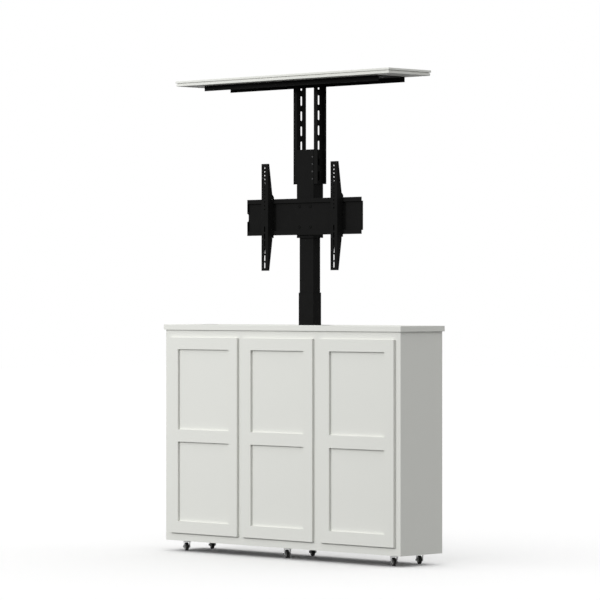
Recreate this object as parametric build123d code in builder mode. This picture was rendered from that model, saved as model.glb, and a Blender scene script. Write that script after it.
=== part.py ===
from build123d import *
from math import cos, radians, sin
import os

os.makedirs("parts", exist_ok=True)

# A television lift in a cabinet on casters. Millimetres, +Z up, floor at Z = 0.
# X runs along the front, -Y faces the front, and the origin is the centre of the footprint.

# Shared clearances
running_gap = 0.3
seat_gap = 0.5
quarter_turn = 90.0

# Cabinet boards
body_width = 1354.0
body_depth = 246.0
body_height = 889.5
floor_gap = 45.0
board = 18.0
back_board = 12.0
frame_board = 19.0

# Counter ring around the lift slot
counter_thickness = 23.0
counter_overhang = 7.0
slot_end_rim = 84.0
slot_side_rim = 26.0
counter_round = 2.0

# Doors, lipped over the face frame
door_sill = 33.0
door_header = 31.5
door_proud = 10.0
door_tongue = 9.0
door_lip = 10.0
door_play = 2.0
door_round = 1.0
left_margin = 32.0
right_margin = 29.0
pair_gap = 30.0
single_gap = 45.0
stile_width = 50.0
rail_height = 50.0
middle_rail = 52.0
lower_panel = 335.0
panel_recess = 9.0
panel_board = 6.0
panel_groove = 8.0
panel_play = 1.0

# Concealed hinges
cup_radius = 13.0
cup_depth = 11.0
cup_wall = 2.0
cup_inset = 26.0
ear_thickness = 1.5
ear_width = 16.0
ear_height = 46.0
hinge_end_distance = 110.0
hinge_plate = 2.5
hinge_plate_reach = 19.0
hinge_arm_reach = 24.0
hinge_arm_height = 22.0
hinge_arm_gap = 1.5

# Casters
caster_end_inset = 78.0
caster_edge_inset = 47.5
wheel_radius = 17.5
wheel_width = 12.0
hub_radius = 11.5
hub_width = 22.0
wheel_round = 3.0
axle_radius = 2.5
axle_cap_radius = 4.0
axle_cap = 2.5
fork_sheet = 1.8
fork_gap = 23.0
fork_crown_radius = 16.0
fork_leg_top = 16.0
fork_boss_radius = 6.0
swivel_radius = 10.0
swivel_height = 2.5
caster_plate_radius = 17.0
caster_plate = 3.0
crown_clearance = 2.2
trail = 6.0
caster_heading = 150.8

# Lift column
outer_tube_width = 88.6
outer_tube_depth = 51.6
middle_tube_width = 85.0
middle_tube_depth = 48.0
inner_tube_width = 81.0
inner_tube_depth = 41.0
tube_wall = 1.5
tube_round = 2.0
column_headroom = 188.5
collar_clearance = 6.0
stage_overlap = 102.0
parking_gap = 5.0
foot_gap = 1.0
glide_rim = 3.0
glide_play = 0.2
middle_foot_height = 12.0
inner_foot_height = 16.0

# Drive train
base_plate_width = 230.0
base_plate_depth = 110.0
base_plate = 8.0
gear_case_left = 42.0
gear_case_right = 118.0
gear_case_depth = 60.0
case_play = 1.0
motor_offset = 86.0
motor_radius = 26.0
motor_height = 104.0
motor_neck_radius = 12.0
motor_round = 4.0
screw_offset = 18.0
drive_screw_radius = 7.0
upper_screw_radius = 6.0
screw_clearance = 0.6
screw_headroom = 15.0
control_width = 150.0
control_depth = 32.0
control_height = 100.0
control_offset = 260.0
control_lift = 90.0
control_round = 5.0

# Column fixings
wood_screw_head = 5.0
wood_screw_head_height = 2.5
wood_screw_radius = 2.2
wood_screw_length = 11.0
base_screw_inset = 12.0
bracket_sheet = 3.0
bracket_height = 60.0
bracket_strap_width = 66.0
bracket_foot_width = 122.0
bracket_drop = 60.0
bracket_screw_inset = 13.0

# Carriage around the top of the inner tube
carriage_width = 97.0
carriage_depth = 57.0
carriage_height = 364.5
carriage_sheet = 2.5
carriage_rise = 2.5
bar_depth = 11.5
bar_height = 124.0
bar_drop = 6.0
front_bolt_top = 31.0
front_bolt_pitch = 30.3
front_bolt_count = 4
front_bolt_radius = 2.0
front_bolt_head = 4.3
front_bolt_head_height = 2.8
front_bolt_length = 14.0

# Lid bracket uprights
upright_depth = 54.0
upright_flange = 20.0
upright_sheet = 2.5
upright_overlap = 142.5
upright_play = 0.2
upright_slot_width = 10.5
upright_slot_length = 40.0
upright_slot_first = 33.2
upright_slot_last = 11.7
upright_slot_count = 6
clamp_slot_index = 1
upright_foot_reach = 50.0
clamp_radius = 4.0
clamp_head_radius = 7.5
clamp_head = 4.0
clamp_nut_width = 13.0
clamp_nut = 3.0
clamp_play = 0.5
foot_bolt_radius = 3.0
foot_bolt_head = 5.5
foot_bolt_head_height = 3.0
foot_bolt_spacing = 22.0
foot_bolt_reach = 28.0

# Lid channel and lid
channel_end_inset = 113.5
channel_front_inset = 39.0
channel_back_inset = 14.0
channel_height = 22.0
channel_sheet = 2.5
lid_travel = 94.0
lid_end_lap = 16.0
lid_front_lap = 22.0
lid_back_lap = 20.0
lid_thickness = 22.0
lid_lip_height = 9.0
lid_neck_height = 3.0
lid_neck_inset = 6.0
lid_bead_inset = 3.0
lid_round = 1.4
lid_screw_inset = 52.5
lid_screw_per_side = 3

# Mount plate that carries the television arms
plate_length = 660.0
plate_height = 151.0
plate_lip = 16.0
plate_step = 8.0
plate_sheet = 2.0
plate_drop = 277.0
plate_notch_height = 34.0
plate_notch_depth = 8.0
plate_bolt_span = 64.0
plate_bolt_rise = 84.0
plate_bolt_radius = 4.0
plate_bolt_head = 7.0
plate_bolt_head_height = 4.0
plate_bolt_length = 8.0

# Television arms
arm_spacing = 400.0
arm_width = 39.0
arm_length = 445.0
arm_stand_off = 26.5
arm_sheet = 2.0
arm_end_depth = 8.0
arm_taper_height = 95.0
arm_tab_gap = 1.0
arm_round = 1.5
arm_hook_depth = 7.0
arm_hook_rise = 8.5
arm_hook_drop = 11.5
arm_hole_radius = 3.2
arm_hole_pitch = 15.7
arm_hole_count = 12
arm_hole_end = 17.5
arm_slot_width = 6.6
arm_slot_length = 24.5
arm_slot_pitch = 30.2
arm_slot_count = 6
arm_slot_end = 22.5
lock_height = 10.0
lock_front = 20.0
lock_tooth_rise = 9.0

# Places that follow from the sizes above
body_front = -(body_depth + counter_overhang - door_proud) / 2
body_back = body_front + body_depth
body_top = floor_gap + body_height
counter_height = body_top + counter_thickness
panel_front = body_front + frame_board
panel_back = body_back - back_board
cabinet_floor = floor_gap + board
door_front = body_front - door_proud
door_back = body_front + door_tongue
door_bottom = floor_gap + door_sill
door_height = body_height - door_sill - door_header
door_middle = door_bottom + door_height / 2
door_width = (body_width - left_margin - right_margin - pair_gap - single_gap) / 3
pair_left = -body_width / 2 + left_margin
pair_right = pair_left + door_width + pair_gap
single_left = pair_right + door_width + single_gap
middle_y = (body_front + body_back) / 2
slot_width = body_width + 2 * counter_overhang - 2 * slot_end_rim
slot_depth = body_depth + 2 * counter_overhang - 2 * slot_side_rim
slot_front = middle_y - slot_depth / 2
lid_length = slot_width + 2 * lid_end_lap
lid_depth = lid_front_lap + slot_depth + lid_back_lap
lid_middle = slot_front - lid_front_lap + lid_depth / 2
channel_length = lid_length - 2 * channel_end_inset
channel_depth = slot_depth - channel_front_inset - channel_back_inset
channel_middle = slot_front + channel_front_inset + channel_depth / 2
column_y = panel_back - base_plate_depth / 2
tube_start = cabinet_floor + base_plate
middle_parked = tube_start + parking_gap
inner_parked = middle_parked + middle_foot_height + foot_gap
inner_parked_top = counter_height - column_headroom
inner_length = inner_parked_top - inner_parked
middle_length = inner_parked_top - bar_drop - bar_height - collar_clearance - middle_parked
stage_travel = middle_length - stage_overlap
middle_bottom = middle_parked + stage_travel
middle_top = middle_bottom + middle_length
inner_bottom = inner_parked + 2 * stage_travel
inner_top = inner_bottom + inner_length
outer_top = middle_parked + middle_length - glide_rim
carriage_top = inner_top + carriage_rise
carriage_bottom = carriage_top - carriage_height
carriage_front = column_y - carriage_depth / 2
carriage_side = carriage_width / 2
upright_bottom = carriage_top - upright_overlap
lid_underside = counter_height + seat_gap + 2 * stage_travel + lid_travel
upright_top = lid_underside - channel_sheet
upright_length = upright_top - upright_bottom
upright_slot_pitch = (upright_length - upright_slot_first - upright_slot_last) / upright_slot_count
upright_face = carriage_side + upright_play
mount_height = carriage_top - plate_drop
plate_front = carriage_front - plate_sheet - plate_step
arm_front = plate_front - arm_stand_off


def facing_front(depth):
    """Sketch plane at Y = depth that looks to the front: sketch x is X, sketch y is Z."""
    return Plane.XZ.offset(-depth)


def facing_right(across):
    """Sketch plane at X = across that looks to the right: sketch x is Y, sketch y is Z."""
    return Plane.YZ.offset(across)


def base_screw_grid():
    """Places of the four wood screws around the column's axis."""
    width = base_plate_width - 2 * base_screw_inset
    return GridLocations(width, base_plate_depth - 2 * base_screw_inset, 2, 2)


def plate_bolt_grid():
    """Places of the four bolts that hold the mount plate to the carriage."""
    return GridLocations(plate_bolt_span, plate_bolt_rise, 2, 2)


def finish(piece, name):
    """Label a finished piece and write it out."""
    piece.part.label = name
    export_step(piece.part, f"parts/{name}.step")


def finish_set(pieces, name):
    """Write pieces that touch but stay separate solids as one group."""
    group = Compound(label=name, children=[piece.part for piece in pieces])
    export_step(group, f"parts/{name}.step")


# Carcase: two sides, a floor, a back and the face frame
carcase_depth = panel_back - panel_front
for side, hand in (("left", -1), ("right", 1)):
    with BuildPart() as side_panel:
        with BuildSketch(Plane.XY.offset(floor_gap)):
            with Locations((hand * (body_width - board) / 2, (panel_front + body_back) / 2)):
                Rectangle(board, body_back - panel_front)
        extrude(amount=body_height)
    finish(side_panel, f"side_panel_{side}")

inner_width = body_width - 2 * board
case_middle = (gear_case_right - gear_case_left) / 2
case_width = gear_case_left + gear_case_right
with BuildPart() as bottom_panel:
    with BuildSketch(Plane.XY.offset(floor_gap)):
        with Locations((0, (panel_front + panel_back) / 2)):
            Rectangle(inner_width, carcase_depth)
        with Locations((case_middle, column_y)):
            Rectangle(case_width + 2 * case_play, gear_case_depth + 2 * case_play, mode=Mode.SUBTRACT)
    extrude(amount=board)
    with BuildSketch(Plane.XY.offset(cabinet_floor)):
        with Locations((0, column_y)):
            with base_screw_grid():
                Circle(wood_screw_radius)
    extrude(amount=-wood_screw_length, mode=Mode.SUBTRACT)
finish(bottom_panel, "bottom_panel")

bracket_middle = outer_top - bracket_drop
bracket_screw_span = bracket_foot_width - 2 * bracket_screw_inset
bracket_screw_rise = bracket_height - 2 * bracket_screw_inset
with BuildPart() as back_panel:
    with BuildSketch(facing_front(panel_back)):
        with Locations((0, floor_gap + body_height / 2)):
            Rectangle(inner_width, body_height)
    extrude(amount=-back_board)
    with BuildSketch(facing_front(panel_back)):
        with Locations((0, bracket_middle)):
            with GridLocations(bracket_screw_span, bracket_screw_rise, 2, 2):
                Circle(wood_screw_radius)
    extrude(amount=-wood_screw_length + bracket_sheet, mode=Mode.SUBTRACT)
finish(back_panel, "back_panel")

window_width = door_width - 2 * door_lip
window_height = door_height - 2 * door_lip
with BuildPart() as face_frame:
    with BuildSketch(facing_front(body_front)):
        with Locations((0, floor_gap + body_height / 2)):
            Rectangle(body_width, body_height)
        for left in (pair_left, pair_right, single_left):
            with Locations((left + door_width / 2, door_middle)):
                Rectangle(window_width, window_height, mode=Mode.SUBTRACT)
    extrude(amount=-frame_board)
finish(face_frame, "face_frame")

# Counter ring with the slot that the lift and its lid drop into
with BuildPart() as counter_top:
    with BuildSketch(Plane.XY.offset(body_top)):
        with Locations((0, middle_y)):
            Rectangle(body_width + 2 * counter_overhang, body_depth + 2 * counter_overhang)
            Rectangle(slot_width, slot_depth, mode=Mode.SUBTRACT)
    extrude(amount=counter_thickness)
    rim = counter_top.faces().sort_by(Axis.Z)[-1].outer_wire().edges()
    fillet(rim, counter_round)
finish(counter_top, "counter_top")


def door_windows():
    """Heights of the middles and the heights of a door's two panel windows."""
    upper_panel = door_height - 2 * rail_height - middle_rail - lower_panel
    lower_middle = door_bottom + rail_height + lower_panel / 2
    upper_middle = door_bottom + door_height - rail_height - upper_panel / 2
    return ((lower_middle, lower_panel), (upper_middle, upper_panel))


hinge_heights = (door_bottom + hinge_end_distance, door_bottom + door_height - hinge_end_distance)
window_clear = door_width - 2 * stile_width


def make_door(side, left, hand):
    """Frame, floating panels and hinge cups of a door that hangs at its left (1) or right (-1) edge."""
    middle = left + door_width / 2
    cup_x = middle - hand * (door_width / 2 - cup_inset)
    cup_places = [(cup_x, height) for height in hinge_heights]
    with BuildPart() as door_frame:
        with BuildSketch(facing_front(door_front)):
            with Locations((middle, door_middle)):
                Rectangle(door_width, door_height)
        extrude(amount=-door_proud)
        rim = door_frame.faces().sort_by(Axis.Y)[0].outer_wire().edges()
        fillet(rim, door_round)
        with BuildSketch(facing_front(body_front)):
            with Locations((middle, door_middle)):
                Rectangle(window_width - 2 * door_play, window_height - 2 * door_play)
        extrude(amount=-door_tongue)
        with BuildSketch(facing_front(door_front)):
            for height, opening in door_windows():
                with Locations((middle, height)):
                    Rectangle(window_clear, opening)
        extrude(amount=-door_proud - door_tongue, mode=Mode.SUBTRACT)
        with BuildSketch(facing_front(door_front + panel_recess)):
            for height, opening in door_windows():
                with Locations((middle, height)):
                    Rectangle(window_clear + 2 * panel_groove, opening + 2 * panel_groove)
        extrude(amount=-panel_board, mode=Mode.SUBTRACT)
        with BuildSketch(facing_front(door_back)):
            with Locations(*cup_places):
                Circle(cup_radius)
        extrude(amount=cup_depth, mode=Mode.SUBTRACT)
    finish(door_frame, f"door_{side}_frame")

    panel_reach = panel_groove - panel_play
    with BuildPart() as door_panels:
        with BuildSketch(facing_front(door_front + panel_recess)):
            for height, opening in door_windows():
                with Locations((middle, height)):
                    Rectangle(window_clear + 2 * panel_reach, opening + 2 * panel_reach)
        extrude(amount=-panel_board)
    finish(door_panels, f"door_{side}_panels")

    with BuildPart() as hinge_cups:
        with BuildSketch(facing_front(door_back)):
            with Locations(*cup_places):
                Circle(cup_radius)
        extrude(amount=cup_depth)
        with BuildSketch(facing_front(door_back)):
            with Locations(*cup_places):
                Rectangle(ear_width, ear_height)
                Circle(cup_radius)
        extrude(amount=-ear_thickness)
        with BuildSketch(facing_front(door_back + ear_thickness)):
            with Locations(*cup_places):
                Circle(cup_radius - cup_wall)
        extrude(amount=cup_depth + ear_thickness - cup_wall, mode=Mode.SUBTRACT)
    finish(hinge_cups, f"hinge_cups_{side}")


door_places = (("left", pair_left, 1), ("centre", pair_right, 1), ("right", single_left, -1))
for side, left, hand in door_places:
    make_door(side, left, hand)

# Hinge arms on the back of the face frame, reaching over the cups
arm_near = door_back + ear_thickness + hinge_arm_gap
with BuildPart() as hinge_arms:
    for height in hinge_heights:
        with BuildSketch(Plane.XY.offset(height - hinge_arm_height / 2)):
            for side, left, hand in door_places:
                middle = left + door_width / 2
                window_edge = middle - hand * window_width / 2
                plate_span = hinge_plate_reach + hinge_arm_reach
                plate_x = window_edge + hand * (hinge_arm_reach - hinge_plate_reach) / 2
                with Locations((plate_x, panel_front + hinge_plate / 2)):
                    Rectangle(plate_span, hinge_plate)
                arm_span = hinge_arm_reach - door_play
                arm_x = window_edge + hand * (door_play + arm_span / 2)
                with Locations((arm_x, (arm_near + panel_front) / 2)):
                    Rectangle(arm_span, panel_front - arm_near)
        extrude(amount=hinge_arm_height)
finish(hinge_arms, "hinge_arms")

# Casters: plates under the floor, swivelling forks with their axles, wheels with their hubs
heading = radians(caster_heading)
roll = Vector(cos(heading), sin(heading), 0)
axle = Vector(-sin(heading), cos(heading), 0)
caster_x_offset = body_width / 2 - caster_end_inset
caster_y_offset = body_depth / 2 - caster_edge_inset
caster_places = [
    (column * caster_x_offset, middle_y + row * caster_y_offset)
    for row in (-1, 1)
    for column in (-1, 0, 1)
]
plate_bottom = floor_gap - caster_plate
swivel_top = plate_bottom - running_gap
crown_bottom = 2 * wheel_radius + crown_clearance
crown_top = swivel_top - swivel_height
with BuildPart() as caster_plates:
    with BuildSketch(Plane.XY.offset(plate_bottom)):
        with Locations(*caster_places):
            Circle(caster_plate_radius)
    extrude(amount=caster_plate)
finish(caster_plates, "caster_plates")

for number, (caster_x, caster_y) in enumerate(caster_places, start=1):
    hub_centre = Vector(caster_x, caster_y, wheel_radius) + roll * trail
    wheel_plane = Plane(origin=hub_centre, x_dir=roll, z_dir=-axle)
    leg_offset = fork_gap / 2
    with BuildPart() as caster_fork:
        with BuildSketch(Plane.XY.offset(crown_bottom)):
            with Locations((caster_x, caster_y)):
                Circle(fork_crown_radius)
        extrude(amount=crown_top - crown_bottom)
        with BuildSketch(Plane.XY.offset(crown_top)):
            with Locations((caster_x, caster_y)):
                Circle(swivel_radius)
        extrude(amount=swivel_height)
        for leg in (-1, 1):
            start = leg_offset if leg == 1 else -leg_offset - fork_sheet
            with BuildSketch(wheel_plane.offset(start)):
                with BuildLine():
                    Polyline(
                        (-fork_boss_radius, 0),
                        (fork_boss_radius, 0),
                        (fork_leg_top / 2 - trail, crown_bottom - wheel_radius),
                        (-fork_leg_top / 2 - trail, crown_bottom - wheel_radius),
                        close=True,
                    )
                make_face()
                Circle(fork_boss_radius)
                Circle(axle_radius, mode=Mode.SUBTRACT)
            extrude(amount=fork_sheet)
    with BuildPart() as caster_axle:
        with BuildSketch(wheel_plane):
            Circle(axle_radius)
        extrude(amount=leg_offset + fork_sheet, both=True)
        for cap_plane in (wheel_plane.offset(leg_offset + fork_sheet),
                          wheel_plane.offset(-leg_offset - fork_sheet - axle_cap)):
            with BuildSketch(cap_plane):
                Circle(axle_cap_radius)
            extrude(amount=axle_cap)
    finish_set((caster_fork, caster_axle), f"caster_fork_{number}")

    with BuildPart() as wheel_hub:
        with BuildSketch(wheel_plane):
            Circle(hub_radius)
        extrude(amount=wheel_width / 2, both=True)
        with BuildSketch(wheel_plane):
            Circle(fork_boss_radius)
        extrude(amount=hub_width / 2, both=True)
        with BuildSketch(wheel_plane):
            Circle(axle_radius + running_gap)
        extrude(amount=hub_width, both=True, mode=Mode.SUBTRACT)
    with BuildPart() as wheel_tyre:
        with BuildSketch(wheel_plane):
            Circle(wheel_radius)
            Circle(hub_radius, mode=Mode.SUBTRACT)
        extrude(amount=wheel_width / 2, both=True)
        treads = wheel_tyre.edges().filter_by(GeomType.CIRCLE).group_by(SortBy.LENGTH)[-1]
        fillet(treads, wheel_round)
    finish_set((wheel_hub, wheel_tyre), f"caster_wheel_{number}")

# Foot of the lift: plate, gear case let into the floor, motor and wood screws
drive_x = -screw_offset
upper_x = screw_offset
with BuildPart() as lift_base_plate:
    with BuildSketch(Plane.XY.offset(cabinet_floor)):
        with Locations((0, column_y)):
            Rectangle(base_plate_width, base_plate_depth)
            with base_screw_grid():
                Circle(wood_screw_radius, mode=Mode.SUBTRACT)
        with Locations((drive_x, column_y)):
            Circle(drive_screw_radius + running_gap, mode=Mode.SUBTRACT)
        with Locations((motor_offset, column_y)):
            Circle(motor_neck_radius, mode=Mode.SUBTRACT)
    extrude(amount=base_plate)
    corners = lift_base_plate.edges().filter_by(Axis.Z).group_by(SortBy.DISTANCE)[-1]
    fillet(corners, base_screw_inset / 2)
finish(lift_base_plate, "lift_base_plate")

with BuildPart() as gear_case:
    with BuildSketch(Plane.XY.offset(floor_gap)):
        with Locations((case_middle, column_y)):
            Rectangle(case_width, gear_case_depth)
    extrude(amount=board)
    upright_edges = gear_case.edges().filter_by(Axis.Z)
    fillet(upright_edges, gear_case_depth / 4)
    with BuildSketch(Plane.XY.offset(cabinet_floor)):
        with Locations((drive_x, column_y)):
            Circle(drive_screw_radius + running_gap)
    extrude(amount=-board / 2, mode=Mode.SUBTRACT)
finish(gear_case, "gear_case")

with BuildPart() as lift_motor:
    with BuildSketch(Plane.XY.offset(tube_start)):
        with Locations((motor_offset, column_y)):
            Circle(motor_radius)
    extrude(amount=motor_height)
    fillet(lift_motor.edges().filter_by(GeomType.CIRCLE).group_by(Axis.Z)[-1], motor_round)
    with BuildSketch(Plane.XY.offset(tube_start)):
        with Locations((motor_offset, column_y)):
            Circle(motor_neck_radius)
    extrude(amount=-base_plate)
finish(lift_motor, "lift_motor")

with BuildPart() as control_box:
    with BuildSketch(facing_front(panel_back)):
        with Locations((-control_offset, cabinet_floor + control_lift + control_height / 2)):
            Rectangle(control_width, control_height)
    extrude(amount=control_depth)
    fillet(control_box.faces().sort_by(Axis.Y)[0].edges(), control_round)
finish(control_box, "control_box")


def tube_section(width, depth):
    """Rounded rectangular tube wall around the column's axis, drawn inside an open sketch."""
    with Locations((0, column_y)):
        RectangleRounded(width, depth, tube_round)
        Rectangle(width - 2 * tube_wall, depth - 2 * tube_wall, mode=Mode.SUBTRACT)


# Column: three nested tubes with a glide collar on each mouth
tubes = (
    ("outer_tube", outer_tube_width, outer_tube_depth, tube_start, outer_top - tube_start),
    ("middle_tube", middle_tube_width, middle_tube_depth, middle_bottom, middle_length),
    ("inner_tube", inner_tube_width, inner_tube_depth, inner_bottom, inner_length),
)
for name, width, depth, start, length in tubes:
    with BuildPart() as tube:
        with BuildSketch(Plane.XY.offset(start)):
            tube_section(width, depth)
        extrude(amount=length)
    finish(tube, name)

glides = (
    ("outer_glide", outer_tube_width, outer_tube_depth, middle_tube_width, middle_tube_depth, outer_top),
    ("middle_glide", middle_tube_width, middle_tube_depth, inner_tube_width, inner_tube_depth, middle_top),
)
for name, width, depth, passing_width, passing_depth, start in glides:
    with BuildPart() as glide:
        with BuildSketch(Plane.XY.offset(start)):
            with Locations((0, column_y)):
                RectangleRounded(width, depth, tube_round)
                RectangleRounded(
                    passing_width + 2 * glide_play,
                    passing_depth + 2 * glide_play,
                    tube_round,
                    mode=Mode.SUBTRACT,
                )
        extrude(amount=glide_rim)
    finish(glide, name)

# Feet of the moving tubes: each carries a screw nut, and a bore that the other screw passes
feet = (
    (
        "middle_foot",
        middle_tube_width,
        middle_tube_depth,
        middle_bottom,
        middle_foot_height,
        ((drive_x, drive_screw_radius + running_gap), (upper_x, upper_screw_radius + running_gap)),
    ),
    (
        "inner_foot",
        inner_tube_width,
        inner_tube_depth,
        inner_bottom,
        inner_foot_height,
        ((drive_x, drive_screw_radius + screw_clearance), (upper_x, upper_screw_radius + running_gap)),
    ),
)
for name, width, depth, start, height, bores in feet:
    with BuildPart() as foot:
        with BuildSketch(Plane.XY.offset(start)):
            with Locations((0, column_y)):
                Rectangle(width - 2 * tube_wall, depth - 2 * tube_wall)
            for bore_x, bore_radius in bores:
                with Locations((bore_x, column_y)):
                    Circle(bore_radius, mode=Mode.SUBTRACT)
        extrude(amount=height)
    finish(foot, name)

# Lead screws: one turns in the gear case, the other in the middle tube's foot
screws = (
    ("drive_screw", drive_x, drive_screw_radius, cabinet_floor - board / 2 + running_gap, outer_top),
    ("upper_screw", upper_x, upper_screw_radius, middle_bottom + running_gap, middle_top),
)
for name, screw_x, radius, start, mouth in screws:
    with BuildPart() as screw:
        with BuildSketch(Plane.XY.offset(start)):
            with Locations((screw_x, column_y)):
                Circle(radius)
        extrude(amount=mouth - screw_headroom - start)
    finish(screw, name)

# Bracket that ties the outer tube's head to the cabinet's back
tube_back = column_y + outer_tube_depth / 2
strap_x = bracket_strap_width / 2
foot_x = bracket_foot_width / 2
with BuildPart() as wall_bracket:
    with BuildSketch(Plane.XY.offset(bracket_middle - bracket_height / 2)):
        with BuildLine():
            Polyline(
                (-foot_x, panel_back),
                (-foot_x, panel_back - bracket_sheet),
                (-strap_x, panel_back - bracket_sheet),
                (-strap_x, tube_back),
                (strap_x, tube_back),
                (strap_x, panel_back - bracket_sheet),
                (foot_x, panel_back - bracket_sheet),
                (foot_x, panel_back),
                (strap_x - bracket_sheet, panel_back),
                (strap_x - bracket_sheet, tube_back + bracket_sheet),
                (-strap_x + bracket_sheet, tube_back + bracket_sheet),
                (-strap_x + bracket_sheet, panel_back),
                close=True,
            )
        make_face()
    extrude(amount=bracket_height)
    with BuildSketch(facing_front(panel_back)):
        with Locations((0, bracket_middle)):
            with GridLocations(bracket_screw_span, bracket_screw_rise, 2, 2):
                Circle(wood_screw_radius)
    extrude(amount=bracket_sheet, mode=Mode.SUBTRACT)
finish(wall_bracket, "wall_bracket")

with BuildPart() as lift_screws:
    with BuildSketch(Plane.XY.offset(tube_start)):
        with Locations((0, column_y)):
            with base_screw_grid():
                Circle(wood_screw_head)
    extrude(amount=wood_screw_head_height)
    with BuildSketch(Plane.XY.offset(tube_start)):
        with Locations((0, column_y)):
            with base_screw_grid():
                Circle(wood_screw_radius)
    extrude(amount=-base_plate - wood_screw_length)
    with BuildSketch(facing_front(panel_back - bracket_sheet)):
        with Locations((0, bracket_middle)):
            with GridLocations(bracket_screw_span, bracket_screw_rise, 2, 2):
                Circle(wood_screw_head)
    extrude(amount=wood_screw_head_height)
    with BuildSketch(facing_front(panel_back - bracket_sheet)):
        with Locations((0, bracket_middle)):
            with GridLocations(bracket_screw_span, bracket_screw_rise, 2, 2):
                Circle(wood_screw_radius)
    extrude(amount=-wood_screw_length)
finish(lift_screws, "lift_screws")

# Carriage: a channel around the tube with its open side to the back
clamp_height = (
    upright_bottom
    + upright_slot_first
    + clamp_slot_index * upright_slot_pitch
    + (upright_slot_length - upright_slot_width) / 2
)
clamp_slot_width = 2 * (clamp_radius + clamp_play)
bolt_x = (inner_tube_width / 2 + carriage_side - carriage_sheet) / 2
front_bolt_places = [
    (bolt_x, carriage_top - front_bolt_top - index * front_bolt_pitch) for index in range(front_bolt_count)
]
with BuildPart() as carriage:
    with BuildSketch(Plane.XY.offset(carriage_bottom)):
        with Locations((0, column_y)):
            Rectangle(carriage_width, carriage_depth)
        with Locations((0, column_y + carriage_sheet)):
            Rectangle(carriage_width - 2 * carriage_sheet, carriage_depth, mode=Mode.SUBTRACT)
    extrude(amount=carriage_height)
    fillet(carriage.edges().filter_by(Axis.Z).group_by(Axis.Y)[0], carriage_sheet / 2)
    with BuildSketch(facing_front(carriage_front)):
        with Locations(*front_bolt_places):
            Circle(front_bolt_radius)
        with Locations((0, mount_height)):
            with plate_bolt_grid():
                Circle(plate_bolt_radius)
    extrude(amount=-carriage_sheet, mode=Mode.SUBTRACT)
    with BuildSketch(facing_right(-carriage_side)):
        with Locations((column_y, clamp_height - lid_travel / 2)):
            SlotOverall(lid_travel + clamp_slot_width, clamp_slot_width, rotation=quarter_turn)
    extrude(amount=carriage_width, mode=Mode.SUBTRACT)
finish(carriage, "carriage")

bar_width = carriage_side - carriage_sheet - inner_tube_width / 2
bar_x = carriage_side - carriage_sheet - bar_width / 2
bar_y = inner_tube_depth / 2 - bar_depth / 2
with BuildPart() as carriage_bars:
    with BuildSketch(Plane.XY.offset(inner_top - bar_drop - bar_height)):
        with Locations((0, column_y)):
            with GridLocations(2 * bar_x, 2 * bar_y, 2, 2):
                Rectangle(bar_width, bar_depth)
    extrude(amount=bar_height)
    with BuildSketch(facing_front(column_y - inner_tube_depth / 2)):
        with Locations(*front_bolt_places):
            Circle(front_bolt_radius)
    extrude(amount=-bar_depth, mode=Mode.SUBTRACT)
finish(carriage_bars, "carriage_bars")

with BuildPart() as carriage_bolts:
    with BuildSketch(facing_front(carriage_front)):
        with Locations(*front_bolt_places):
            Circle(front_bolt_head)
    extrude(amount=front_bolt_head_height)
    fillet(carriage_bolts.edges().group_by(Axis.Y)[0], front_bolt_head_height / 2)
    with BuildSketch(facing_front(carriage_front)):
        with Locations(*front_bolt_places):
            Circle(front_bolt_radius)
    extrude(amount=-front_bolt_length)
finish(carriage_bolts, "carriage_bolts")

# Uprights of the lid bracket: slotted channels that open away from the column
slot_places = [
    (column_y, upright_bottom + upright_slot_first + index * upright_slot_pitch)
    for index in range(upright_slot_count)
]
top_hole = upright_top - upright_slot_last - (upright_slot_length - upright_slot_width) / 2
foot_bolt_x = upright_face + foot_bolt_reach + foot_bolt_spacing / 2 - upright_sheet
for side, hand in (("left", -1), ("right", 1)):
    web_middle = hand * (upright_face + upright_sheet / 2)
    flange_middle = hand * (upright_face + upright_flange / 2)
    foot_middle = hand * (upright_face + upright_foot_reach / 2)
    with BuildPart() as upright:
        with BuildSketch(Plane.XY.offset(upright_bottom)):
            with Locations((web_middle, column_y)):
                Rectangle(upright_sheet, upright_depth)
            with Locations((flange_middle, column_y)):
                with GridLocations(0, upright_depth - upright_sheet, 1, 2):
                    Rectangle(upright_flange, upright_sheet)
        extrude(amount=upright_length)
        with BuildSketch(Plane.XY.offset(upright_top)):
            with Locations((foot_middle, column_y)):
                Rectangle(upright_foot_reach, upright_depth)
            with Locations((hand * foot_bolt_x, column_y)):
                with GridLocations(0, foot_bolt_spacing, 1, 2):
                    Circle(foot_bolt_radius, mode=Mode.SUBTRACT)
        extrude(amount=-upright_sheet)
        with BuildSketch(facing_right(web_middle - upright_sheet)):
            with Locations(*slot_places):
                SlotOverall(upright_slot_length, upright_slot_width, rotation=quarter_turn)
            with Locations((column_y, top_hole)):
                Circle(upright_slot_width / 2)
        extrude(amount=2 * upright_sheet, mode=Mode.SUBTRACT)
    finish(upright, f"upright_{side}")

with BuildPart() as clamp_bolts:
    nut_face = carriage_side - carriage_sheet - upright_play
    head_face = upright_face + upright_sheet
    for hand in (-1, 1):
        with BuildSketch(facing_right(hand * head_face)):
            with Locations((column_y, clamp_height)):
                Circle(clamp_head_radius)
        extrude(amount=hand * clamp_head)
        with BuildSketch(facing_right(hand * head_face)):
            with Locations((column_y, clamp_height)):
                Circle(clamp_radius)
        extrude(amount=-hand * (head_face - nut_face))
        with BuildSketch(facing_right(hand * nut_face)):
            with Locations((column_y, clamp_height)):
                Rectangle(clamp_nut_width, clamp_nut_width)
        extrude(amount=-hand * clamp_nut)
finish(clamp_bolts, "clamp_bolts")

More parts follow.
